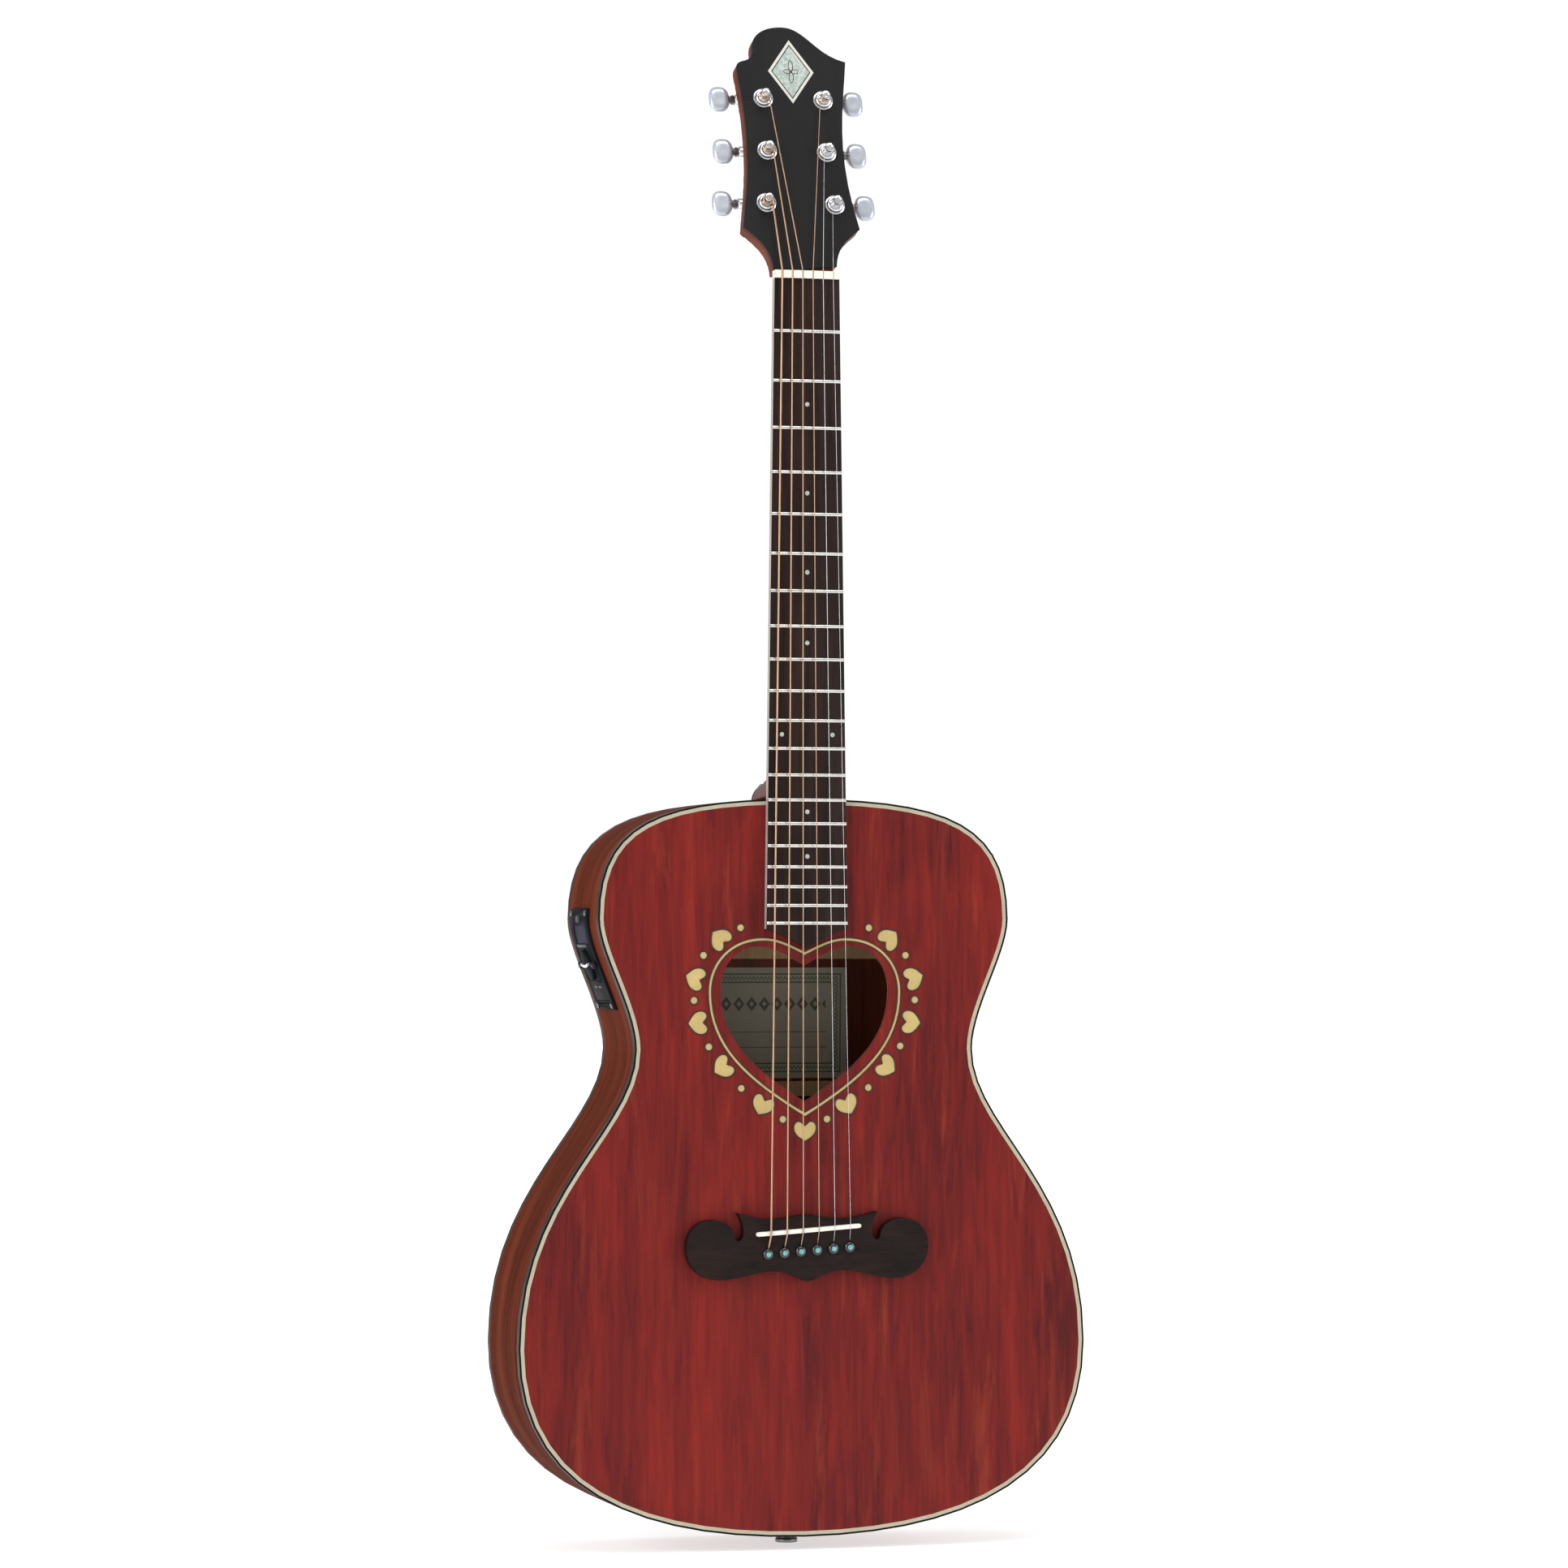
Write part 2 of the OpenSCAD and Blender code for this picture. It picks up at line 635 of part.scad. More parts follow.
module heel_cap() {
    color("black") difference() {
        intersection() {
            translate([0, neck_depth - heel_t, body_top]) rotate([-90, 0, 0])
                cylinder(h = heel_t, r = heel_r[1], $fn = 96);
            box([-heel_r[1], 0, body_top], [heel_r[1], neck_depth + over, heel_top_z]);
        }
        button_hole();
    }
}
module truss_rod() { color("dimgray") rod([0, rod_y, rod_ends[0]], [0, rod_y, rod_ends[1]], rod_r); }
module truss_rod_nut() {
    color("gray") translate([0, rod_y, rod_ends[1] - 12]) difference() {
        cylinder(h = 12, r = 4.2);
        translate([0, 0, -over]) cylinder(h = 6, r = 2.3, $fn = 6);
        translate([0, 0, 5]) cylinder(h = 8, r = rod_r + running_gap);
    }
}
board_end_z = [-436.8, -449.6];
function board_half(z) = nut_width / 2 + (end_width - nut_width) / 2 * z / fret_z(fret_count);
module board_shape() {
    end = [for (i = [0:6]) curve([board_half(board_end_z[0]), board_end_z[0]], [20, -439],
        [9, -444.5], [0, board_end_z[1]], i / 6)];
    polygon(concat([[-nut_width / 2, 0], [nut_width / 2, 0]], end,
        [for (i = [5:-1:0]) [-end[i][0], end[i][1]]]));
}
slot_w = 0.6;
module fingerboard() {
    color("#241a1a") difference() {
        intersection() {
            lay(-board_t - over, 0) board_shape();
            crowned(-board_t, -460, 10);
        }
        for (n = [1:fret_count]) box([-40, -board_t - over, fret_z(n) - slot_w / 2],
            [40, -board_t + 2.2, fret_z(n) + slot_w / 2]);
        marker_discs(over);
    }
}
marker_frets = [3, 5, 7, 9, 15, 17];
marker_r = 1.5;
module marker_discs(extra) {
    module disc(x, z) {
        translate([x, -board_t + crown_drop(x) - extra, z]) rotate([-90, 0, 0])
            cylinder(h = 1.4 + extra, r = marker_r);
    }
    for (n = marker_frets) disc(0, (fret_z(n) + fret_z(n - 1)) / 2);
    for (x = [-17.5, 17.5]) disc(x, (fret_z(12) + fret_z(11)) / 2);
}
module fret_markers() { color("gainsboro") marker_discs(0); }
module frets() {
    color("silver") for (n = [1:fret_count]) intersection() {
        box([-board_half(fret_z(n)), -20, fret_z(n) - 2], [board_half(fret_z(n)), 0, fret_z(n) + 2]);
        translate([0, -board_t + crown_r, fret_z(n)]) union() {
            rotate([0, 0, 266]) rotate_extrude(angle = 8, $fn = 360) intersection() {
                translate([crown_r - 0.2, 0]) circle(r = fret_h + 0.2, $fn = 24);
                translate([crown_r, -2]) square([3, 4]);
            }
            box([-40, -crown_r, -slot_w / 2 + 0.05], [40, -crown_r + 2, slot_w / 2 - 0.05]);
        }
    }
}
module nut() {
    color("ivory") difference() {
        intersection() {
            box([-nut_width / 2, -12, 0], [nut_width / 2, 0, nut_len]);
            crowned(string_y_nut - 0.9, -over, nut_len + over);
        }
        for (i = [0:5]) translate([nut_point(i)[0], nut_point(i)[1], -over])
            box([-string_r[i] - 0.1, -5, 0], [string_r[i] + 0.1, string_r[i] + 0.05, nut_len + 2 * over]);
    }
}

// ================= Headstock =================
module headstock_veneer() {
    color("#1c1c1e") difference() {
        on_headstock() difference() {
            lay(0, veneer_t) headstock_shape();
            lay(-over, inlay_t) polygon(diamond);
        }
        box([-60, -20, -20], [60, 30, nut_len]);
        for (i = [0:5]) at_post(i) post_disc(-over, head_t, hole_r);
    }
}
module headstock_inlay() { color("lightgray") on_headstock() lay(0, inlay_t) polygon(diamond); }
module tuner_housings() {
    color("lightgray") for (i = [0:5]) at_post(i) difference() {
        union() {
            box([-8.5, housing_y[0], -7], [8.5, housing_y[1], 10]);
            translate([0, 0, -7]) post_disc(housing_y[0], housing_y[0] + 4, 5);
            translate([0, 0, screw_z]) post_disc(housing_y[0], housing_y[0] + 2.5, 3);
            stem_disc(8, 15.5, 4.4);
        }
        box([-5.5, housing_y[0] + 1.6, -4.6], [5.5, housing_y[1] - 1.6, 8.6]);
        post_disc(head_t - over, housing_y[0] + 4, post_r + 0.3);
        stem_disc(4, 17, stem_r + running_gap);
        translate([0, 0, screw_z]) {
            post_disc(head_t - over, housing_y[0] + 4, screw_r + 0.15);
            post_disc(housing_y[0] + 2.5, housing_y[1], screw_head_r + 0.2);
        }
    }
}
module tuner_bushings() {
    color("silver") for (i = [0:5]) at_post(i) difference() {
        union() {
            post_disc(-1.2, 0, 6.9);
            post_disc(-3.4, -1, 5.6);
            post_disc(-0.2, 11, sleeve_r);
        }
        post_disc(-5, 12, post_r + running_gap);
    }
}
module tuner_screws() {
    color("silver") for (i = [0:5]) at_post(i) translate([0, 0, screw_z]) {
        post_disc(head_t - 7, housing_y[0] + 2.5, screw_r);
        post_disc(housing_y[0] + 2.5, housing_y[0] + 4.1, screw_head_r);
    }
}
module tuner_button(i) {
    color("silver") at_post(i) {
        stem_disc(-4.8, 20, stem_r - 0.01);
        stem_disc(15.8, 20, 3.3);
        translate([button_reach, worm_y, worm_shift]) intersection() {
            rotate([90, 0, 0]) cylinder(h = button_size[1], r = button_size[2] / 2, center = true);
            cube(button_size, center = true);
        }
    }
}
module tuner_post(i) {
    color("silver") at_post(i) difference() {
        union() {
            post_disc(-4.2, worm_y + 2, post_r);
            post_disc(wrap_y - 2.4, -4, post_r - 0.5);
            post_disc(post_tip_y, wrap_y - 2.2, post_r);
            for (turn = [-1:1]) translate([0, wrap_y + turn * 1.4, 0]) rotate([-90, 0, 0])
                rotate_extrude() translate([wrap_r - 1.1, 0]) circle(r = 0.75, $fn = 16);
            post_disc(worm_y - 2, worm_y + 2, gear_r - 0.6);
        }
        translate([0, wrap_y - 2.9, 0]) rotate([0, 90, 0]) cylinder(h = 20, r = 0.9, center = true);
    }
}

// ================= Preamp and hardware =================
module preamp_panel() {
    color("#202022") difference() {
        side_patch(-panel_t, 0, panel_y, panel_z);
        box([-upper_bout, display_y[0], display_z[0]], [0, display_y[1], display_z[1]]);
        on_side(dial_y, key_z) translate([0, 0, -5]) cylinder(h = 20, r = key_r + 0.3);
        on_side(dial_y, dial_z) translate([0, 0, -5]) cylinder(h = 20, r = dial_d / 2 + 0.4);
        for (y = slider_y) slider_slot(y);
        box([-upper_bout, door_y[0] - door_gap, door_z[0] - door_gap],
            [0, door_y[1] + door_gap, door_z[1] + door_gap]);
    }
}
module housing_profile(outer, inner, trim) {
    side_patch(outer, inner, [panel_y[0] + cut_in + trim, panel_y[1] - cut_in - trim],
        [panel_z[0] + cut_in + trim, panel_z[1] - cut_in - trim]);
}
module preamp_housing() {
    color("#2a2a2c") difference() {
        housing_profile(0.05, housing_depth, 0.1);
        housing_profile(-over, 7, 2);
        on_side(0, cell_z) box([-cell_t / 2 - 1, door_y[0], -cell_inset - cell_r - 1],
            [cell_t / 2 + 1, door_y[1], 0]);
    }
}
module preamp_display() {
    color("steelblue") side_patch(-panel_t + 0.4, 0.02, display_y, display_z);
}
module tuner_key() {
    color("gray") on_side(dial_y, key_z) translate([0, 0, -2.5]) cylinder(h = 6, r = key_r);
}
dial_rise = 4.2;
grip_size = [2.6, 19, 2.2];
module volume_dial() {
    color("#2c2c30") on_side(dial_y, dial_z) {
        translate([0, 0, -1]) cylinder(h = 1 + dial_rise, r = dial_d / 2);
        translate([0, 0, -6]) cylinder(h = 6, r = 3);
        translate([0, 0, dial_rise + grip_size[2] / 2]) cube(grip_size, center = true);
    }
}
module slider_knob(y) {
    z = (slider_z[0] + slider_z[1]) / 2;
    color("gainsboro") on_side(y, z) {
        translate([-slider_knob[1] / 2, -slider_knob[0] / 2, panel_t + 0.35])
            cube([slider_knob[1], slider_knob[0], 2.6]);
        translate([-1.4, -0.9, -3]) cube([2.8, 1.8, panel_t + 4]);
    }
}
module bass_slider() { slider_knob(slider_y[0]); }
module treble_slider() { slider_knob(slider_y[1]); }
module battery_door() {
    barrel = panel_t - door_t / 2;
    low = side_point(hinge_z)[1] - barrel * sin(side_turn(hinge_z));
    color("#333336") {
        side_patch(-panel_t, -panel_t + door_t, door_y, [low, door_z[1]]);
        on_side(door_y[0], hinge_z) translate([0, 0, barrel]) rotate([-90, 0, 0])
            cylinder(h = door_y[1] - door_y[0], r = door_t / 2);
    }
}
module coin_cells() {
    color("silver") for (y = cell_y) on_side(y, cell_z) translate([0, 0, -cell_inset])
        rotate([0, 90, 0]) cylinder(h = cell_t, r = cell_r, center = true);
}
module endpin_jack() {
    color("#1d1d1f") difference() {
        translate([0, jack_y, body_end]) {
            translate([0, 0, -2.5]) cylinder(h = 2.5, r = 7.6);
            translate([0, 0, -8.5]) cylinder(h = 7, r = 5.6);
            translate([0, 0, -jack_out]) cylinder(h = 3, r = 7.6);
            cylinder(h = jack_in, r = jack_body_r);
            translate([0, 0, side_t + tail_block_len]) cylinder(h = 2.5, r = 9, $fn = 6);
        }
        translate([0, jack_y, body_end - jack_out - over]) cylinder(h = jack_out + jack_in - 2, r = jack_r);
    }
}
module strap_button() {
    color("silver") translate([0, neck_depth, button_z]) rotate([-90, 0, 0]) {
        translate([0, 0, -16]) cylinder(h = 17, r = 1.8);
        cylinder(h = 1.8, r = 6.4);
        cylinder(h = 8, r = 4.2);
        translate([0, 0, 8]) cylinder(h = 2.6, r = 6.8);
    }
}

soundboard();
back_plate();
rib_bass();
rib_treble();
top_binding();
top_purfling();
back_binding();
end_graft();
neck_block();
tail_block();
linings();
x_braces();
tone_bars();
bridge_plate();
back_braces();
sound_hole_inlay();
rosette_inlays();
label();
bridge();
saddle();
saddle_pickup();
bridge_pins();
neck();
heel_cap();
truss_rod();
truss_rod_nut();
fingerboard();
frets();
fret_markers();
nut();
headstock_veneer();
headstock_inlay();
wound_strings();
plain_strings();
tuner_housings();
tuner_bushings();
tuner_screws();
for (i = [0:5]) {
    tuner_button(i);
    tuner_post(i);
}
preamp_panel();
preamp_housing();
preamp_display();
tuner_key();
volume_dial();
bass_slider();
treble_slider();
battery_door();
coin_cells();
endpin_jack();
strap_button();
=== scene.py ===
import json
import math

import bmesh
import bpy
from mathutils import Matrix, Vector


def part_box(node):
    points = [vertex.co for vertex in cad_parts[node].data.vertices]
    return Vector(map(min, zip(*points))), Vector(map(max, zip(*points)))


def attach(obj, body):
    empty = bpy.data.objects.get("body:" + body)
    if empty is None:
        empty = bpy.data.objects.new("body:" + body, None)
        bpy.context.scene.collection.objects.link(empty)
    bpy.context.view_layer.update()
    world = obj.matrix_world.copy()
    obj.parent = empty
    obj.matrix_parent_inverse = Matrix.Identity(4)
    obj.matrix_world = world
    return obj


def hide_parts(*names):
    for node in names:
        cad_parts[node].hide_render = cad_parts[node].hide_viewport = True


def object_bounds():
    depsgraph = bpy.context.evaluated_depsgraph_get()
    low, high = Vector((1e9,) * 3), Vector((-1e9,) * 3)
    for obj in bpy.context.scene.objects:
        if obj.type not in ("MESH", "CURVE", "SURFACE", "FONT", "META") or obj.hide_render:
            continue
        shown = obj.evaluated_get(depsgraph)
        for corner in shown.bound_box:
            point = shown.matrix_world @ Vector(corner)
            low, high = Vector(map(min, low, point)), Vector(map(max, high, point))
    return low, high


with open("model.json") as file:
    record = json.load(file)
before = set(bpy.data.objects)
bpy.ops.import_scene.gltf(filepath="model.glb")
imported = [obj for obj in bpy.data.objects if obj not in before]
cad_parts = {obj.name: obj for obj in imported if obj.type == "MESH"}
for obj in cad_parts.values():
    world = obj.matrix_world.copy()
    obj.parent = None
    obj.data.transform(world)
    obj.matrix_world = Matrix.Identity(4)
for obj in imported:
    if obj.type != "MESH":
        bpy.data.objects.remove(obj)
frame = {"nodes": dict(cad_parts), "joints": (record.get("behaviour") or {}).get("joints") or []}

bl_info = {
    "name": "Folk Guitar",
    "version": (1, 0, 0),
    "blender": (4, 5, 0),
    "location": "View3D > Sidebar > Guitar",
    "description": "Finishes a steel-string folk guitar around its CAD frame",
    "category": "Object",
}

CAD_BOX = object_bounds()
JOINTS = {joint["name"]: joint for joint in frame["joints"]}
ROOT = "guitar"
MM = 0.001
FINISHES = {}

# ---- Places taken from the frame
HEAD_TILT = math.atan2(JOINTS["post_1_turn"]["axis"][2], -JOINTS["post_1_turn"]["axis"][1])
FACE_RISE = 3 * MM
HEAD = Matrix.Translation((0, -FACE_RISE, 0)) @ Matrix.Rotation(-HEAD_TILT, 4, "X")
NUT_LOW, NUT_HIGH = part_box("nut")
BODY_LOW, BODY_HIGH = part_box("soundboard")
BRIDGE_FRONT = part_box("bridge")[0].y
SADDLE_LOW, SADDLE_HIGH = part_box("saddle")
LABEL_LOW, LABEL_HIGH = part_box("label")
DIAMOND_LOW, DIAMOND_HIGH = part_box("headstock_inlay")
DIAMOND_HALF_W = (DIAMOND_HIGH.x - DIAMOND_LOW.x) / 2
DIAMOND_HALF_H = 23.4 * MM
DIAMOND_DEPTH = 0.7 * MM

# ---- Strings, numbered from the low E on the bass side
NUT_SPACING = 35.5 * MM
SADDLE_SPACING = 55 * MM
PIN_SPACING = SADDLE_SPACING + 1.4 * MM
STRING_SHIFT = 1 * MM
STRING_R = [r * MM for r in (0.67, 0.53, 0.41, 0.3, 0.2, 0.15)]
CROWN_R = 400 * MM
SADDLE_SLOPE = math.tan(math.radians(4.12))
WAIST_R = 2.6 * MM
WRAP_DEPTH = 5.8 * MM
PIN_ROW_Z = -651.8 * MM
FACE_TO_BACK = 13 * MM

# ---- Bridge: the slotted middle of its front, which keeps sharp edges
SLOTTED_HALF_W = 36 * MM
SLOTTED_Z = (-662 * MM, -633 * MM)
FLAT_ANGLE = 0.01


# ================= Small tools =================
def clear_selection():
    """Leaves object mode clean, with nothing selected."""
    if bpy.context.object and bpy.context.object.mode != "OBJECT":
        bpy.ops.object.mode_set(mode="OBJECT")
    bpy.ops.object.select_all(action="DESELECT")


def pick(obj):
    """Makes obj the only selected object and the active one."""
    clear_selection()
    obj.select_set(True)
    bpy.context.view_layer.objects.active = obj
    return obj


def settle(obj, place=None):
    """Moves obj by place, then puts its place into its mesh."""
    pick(obj)
    if place is not None:
        obj.matrix_world = place @ obj.matrix_world
    bpy.ops.object.transform_apply(location=True, rotation=True, scale=True)
    return obj


def modify(obj, kind, **settings):
    """Adds one modifier and applies it."""
    pick(obj)
    modifier = obj.modifiers.new(kind, kind)
    for key, value in settings.items():
        setattr(modifier, key, value)
    bpy.ops.object.modifier_apply(modifier=modifier.name)
    return obj


def bevelled(obj, width, segments=3, angle=30):
    return modify(obj, "BEVEL", width=width, segments=segments, limit_method="ANGLE",
                  angle_limit=math.radians(angle))


def smoothed(obj, angle=30):
    pick(obj)
    bpy.ops.object.shade_smooth_by_angle(angle=math.radians(angle))
    return obj


def outward(obj):
    """Merges doubles and turns every face outwards."""
    pick(obj)
    bpy.ops.object.mode_set(mode="EDIT")
    bpy.ops.mesh.select_all(action="SELECT")
    bpy.ops.mesh.remove_doubles(threshold=1e-6)
    bpy.ops.mesh.normals_make_consistent(inside=False)
    bpy.ops.object.mode_set(mode="OBJECT")
    return obj


def joined(objects):
    clear_selection()
    for obj in objects:
        obj.select_set(True)
    bpy.context.view_layer.objects.active = objects[0]
    bpy.ops.object.join()
    return bpy.context.object


def finish_piece(obj, name, body, finish, nodes=()):
    """Names a piece, gives it its finish, hangs it on the body it rides on and hides the CAD nodes it
    stands for.
    """
    obj.name = obj.data.name = name
    obj.data.materials.clear()
    obj.data.materials.append(FINISHES[finish])
    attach(obj, body)
    if nodes:
        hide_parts(*nodes)
    return obj


def merged_copy(node):
    """A copy of a CAD node's mesh with its loose triangles joined."""
    obj = linked(node + "_copy", frame["nodes"][node].data.copy())
    pick(obj)
    bpy.ops.mesh.customdata_custom_splitnormals_clear()
    bpy.ops.object.mode_set(mode="EDIT")
    bpy.ops.mesh.select_all(action="SELECT")
    bpy.ops.mesh.remove_doubles(threshold=2e-6)
    bpy.ops.object.mode_set(mode="OBJECT")
    return obj


def finished_copy(node, name, slot, finish, angle=30):
    """Stands for a CAD node whose shape is right, with smooth shading on its curves."""
    return finish_piece(smoothed(merged_copy(node), angle), name, ROOT, finish, (node,))


def flattened(obj):
    """Joins the flat triangles of a piece into whole faces."""
    shape = bmesh.new()
    shape.from_mesh(obj.data)
    bmesh.ops.dissolve_limit(shape, angle_limit=FLAT_ANGLE, verts=shape.verts, edges=shape.edges)
    shape.to_mesh(obj.data)
    shape.free()
    return obj


def linked(name, mesh):
    """A new object in the scene around a mesh or curve."""
    obj = bpy.data.objects.new(name, mesh)
    bpy.context.scene.collection.objects.link(obj)
    return obj


def block(size, centre=(0, 0, 0)):
    bpy.ops.mesh.primitive_cube_add(size=1, location=centre)
    obj = bpy.context.object
    obj.scale = size
    return settle(obj)


def turned(profile, steps=40):
    """A solid turned on the Z axis from (radius, height) points in millimetres."""
    mesh = bpy.data.meshes.new("turned")
    shape = bmesh.new()
    points = [shape.verts.new((r * MM, 0, z * MM)) for r, z in profile]
    for a, b in zip(points, points[1:]):
        shape.edges.new((a, b))
    shape.to_mesh(mesh)
    shape.free()
    obj = linked("turned", mesh)
    modify(obj, "SCREW", steps=steps, render_steps=steps, use_merge_vertices=True,
           merge_threshold=1e-6)
    return outward(obj)


def tube(points, radius, sides=6, closed=False):
    """A round bar along a list of points."""
    curve = bpy.data.curves.new("tube", "CURVE")
    curve.dimensions = "3D"
    curve.bevel_depth = radius
    curve.bevel_resolution = max(0, sides // 4)
    curve.use_fill_caps = True
    spline = curve.splines.new("POLY")
    spline.points.add(len(points) - 1)
    for knot, place in zip(spline.points, points):
        knot.co = (*place, 1)
    spline.use_cyclic_u = closed
    pick(linked("tube", curve))
    bpy.ops.object.convert(target="MESH")
    return bpy.context.object


def axes_at(place, up, side):
    """A frame at place with its Z along up and its X near side."""
    z = Vector(up).normalized()
    y = z.cross(Vector(side)).normalized()
    x = y.cross(z)
    turn = Matrix((x, y, z)).transposed().to_4x4()
    return Matrix.Translation(place) @ turn


def joint_frame(name, side):
    """A joint's own frame, with Z along its axis."""
    return axes_at(JOINTS[name]["pos_m"], JOINTS[name]["axis"], side)


# ================= Finishes =================
class Sum:
    """A socket that can be added, taken away, multiplied and compared in Python."""

    def __init__(self, finish, socket):
        self.finish = finish
        self.socket = socket

    def _math(self, operation, a, b=0.0):
        return self.finish.node("ShaderNodeMath", {"operation": operation}, {0: a, 1: b})

    def __add__(self, other):
        return self._math("ADD", self, other)

    __radd__ = __add__

    def __sub__(self, other):
        return self._math("SUBTRACT", self, other)

    def __rsub__(self, other):
        return self._math("SUBTRACT", other, self)

    def __mul__(self, other):
        return self._math("MULTIPLY", self, other)

    __rmul__ = __mul__

    def __abs__(self):
        return self._math("ABSOLUTE", self)

    def __gt__(self, other):
        return self._math("GREATER_THAN", self, other)

    def __lt__(self, other):
        return self._math("LESS_THAN", self, other)

    def at_most(self, other):
        return self._math("MINIMUM", self, other)


class Finish:
    """One procedural finish: a Principled shader and the nodes that feed it."""

    def __init__(self, name, **constants):
        self.material = bpy.data.materials.new(name)
        self.material.use_nodes = True
        self.tree = self.material.node_tree
        self.tree.nodes.clear()
        self.shader = self.tree.nodes.new("ShaderNodeBsdfPrincipled")
        output = self.tree.nodes.new("ShaderNodeOutputMaterial")
        self.tree.links.new(self.shader.outputs[0], output.inputs[0])
        for key, value in constants.items():
            self.shader.inputs[key.replace("_", " ")].default_value = value
        self.place = self.node("ShaderNodeTexCoord", out="Object")

    def node(self, kind, settings=None, sockets=None, out=0):
        """Adds a node with its settings, and the values or links of its sockets."""
        made = self.tree.nodes.new(kind)
        for key, value in (settings or {}).items():
            if key == "stops":
                ramp = made.color_ramp.elements
                while len(ramp) < len(value):
                    ramp.new(0.5)
                for stop, (position, colour) in zip(ramp, value):
                    stop.position = position
                    stop.color = (*colour, 1)
            else:
                setattr(made, key, value)
        for key, value in (sockets or {}).items():
            if isinstance(value, Sum):
                self.tree.links.new(value.socket, made.inputs[key])
            else:
                made.inputs[key].default_value = value
        return Sum(self, made.outputs[out])

    def feed(self, **links):
        """Links values to the shader's own sockets."""
        for key, value in links.items():
            self.tree.links.new(value.socket, self.shader.inputs[key.replace("_", " ")])
        return self

    def stretched(self, scale, centre=(0, 0, 0)):
        """Object coordinates about a centre, times a scale on each axis."""
        moved = tuple(-c * s for c, s in zip(centre, scale))
        return self.node("ShaderNodeMapping", None,
                         {"Vector": self.place, "Scale": scale, "Location": moved})

    def noise(self, scale, detail=3.0, roughness=0.55, distortion=0.0):
        return self.node("ShaderNodeTexNoise", None, {
            "Vector": self.stretched(scale), "Scale": 1.0, "Detail": detail,
            "Roughness": roughness, "Distortion": distortion})

    def parts(self, vector=None):
        """The three numbers of a vector."""
        split = self.tree.nodes.new("ShaderNodeSeparateXYZ")
        self.tree.links.new((vector or self.place).socket, split.inputs[0])
        return [Sum(self, socket) for socket in split.outputs]

    def ramp(self, value, stops):
        return self.node("ShaderNodeValToRGB", {"stops": stops}, {0: value})

    def mask(self, value, low, high):
        """Rises from 0 to 1 as value goes from low to high."""
        return self.node("ShaderNodeMapRange", {"clamp": True}, {
            "Value": value, "From Min": low, "From Max": high})

    def mix(self, share, a, b, blend="MIX"):
        """A blend of two colours."""
        def full(colour):
            return colour if isinstance(colour, Sum) else (*colour, 1)
        return self.node("ShaderNodeMix", {"data_type": "RGBA", "blend_type": blend},
                         {0: share, 6: full(a), 7: full(b)}, out=2)

    def bump(self, height, distance, strength=1.0):
        return self.feed(Normal=self.node("ShaderNodeBump", None, {
            "Height": height, "Distance": distance, "Strength": strength}))


def wood(name, dark, light, across, along, figure, roughness=0.45, specular=0.15, pores=0.5):
    """Wood whose lines run where `along` is small; `figure` is the size of its slow changes."""
    finish = Finish(name, Specular_IOR_Level=specular)
    fine = finish.noise(across, 4, 0.6, 0.2)
    slow = finish.noise(figure, 3, 0.5, 0.4)
    lines = finish.noise(along, 2, 0.7)
    tone = finish.mask(fine * 0.45 + slow * 0.55, 0.33, 0.68)
    colour = finish.mix(tone, dark, light)
    pore = finish.mask(lines, 0.6, 0.68) * pores
    colour = finish.mix(pore, colour, tuple(c * 0.35 for c in dark))
    finish.feed(Base_Color=colour, Roughness=finish.mask(fine, 0.0, 1.0) * 0.15 + (roughness - 0.07))
    return finish.bump(lines * 0.6 + fine * 0.4, 0.00012, 0.35)


def stained_top(colours):
    """Spruce under a see-through red stain: dark upright blotches and thin growth lines."""
    finish = Finish("red_stained_spruce", Coat_Weight=0.05, Coat_Roughness=0.2, Specular_IOR_Level=0.15)
    depth = finish.parts()[1]
    blotch = finish.noise((26, 10, 4.2), 4, 0.62, 0.9)
    cloud = finish.noise((7, 7, 2.4), 2, 0.5, 0.3)
    fleck = finish.noise((210, 40, 15), 5, 0.7, 0.5)
    grain = finish.noise((620, 200, 5), 2, 0.6)
    tone = finish.mask(blotch * 0.4 + cloud * 0.2 + fleck * 0.4, 0.38, 0.62)
    colour = finish.mix(tone, tuple(colours.stain_dark), tuple(colours.stain_light))
    glow = finish.mask(finish.noise((70, 20, 6), 4, 0.66, 0.6), 0.56, 0.74) * 0.6
    colour = finish.mix(glow, colour, (0.30, 0.040, 0.016))
    colour = finish.mix(finish.mask(grain, 0.56, 0.72) * 0.38, colour, (0.085, 0.008, 0.008))
    pale = finish.mix(finish.mask(grain, 0.4, 0.7), (0.5, 0.33, 0.18), (0.33, 0.19, 0.09))
    colour = finish.mix(finish.mask(depth, 2.2 * MM, 2.4 * MM), colour, pale)
    finish.feed(Base_Color=colour, Roughness=finish.mask(fleck, 0.2, 0.8) * 0.16 + 0.42)
    return finish.bump(grain * 0.5 + fleck * 0.5, 0.0001, 0.3)


def plain(name, colour, roughness, metallic=0.0, speck=0.0, coat=0.0, grain=900.0, specular=0.5):
    """A moulded, cast or polished finish with slight wear in its colour and gloss."""
    finish = Finish(name, Metallic=metallic, Coat_Weight=coat, Coat_Roughness=0.08,
                    Specular_IOR_Level=specular)
    wear = finish.noise((grain, grain, grain), 3, 0.6)
    cloud = finish.noise((60, 60, 60), 3, 0.5)
    darker = tuple(c * (1 - speck) for c in colour)
    finish.feed(Base_Color=finish.mix(finish.mask(wear * 0.5 + cloud * 0.5, 0.35, 0.65), darker, colour),
                Roughness=finish.mask(cloud, 0.3, 0.7) * (roughness * 0.35) + roughness * 0.8)
    return finish.bump(wear, 0.00004, 0.15 if metallic else 0.3)


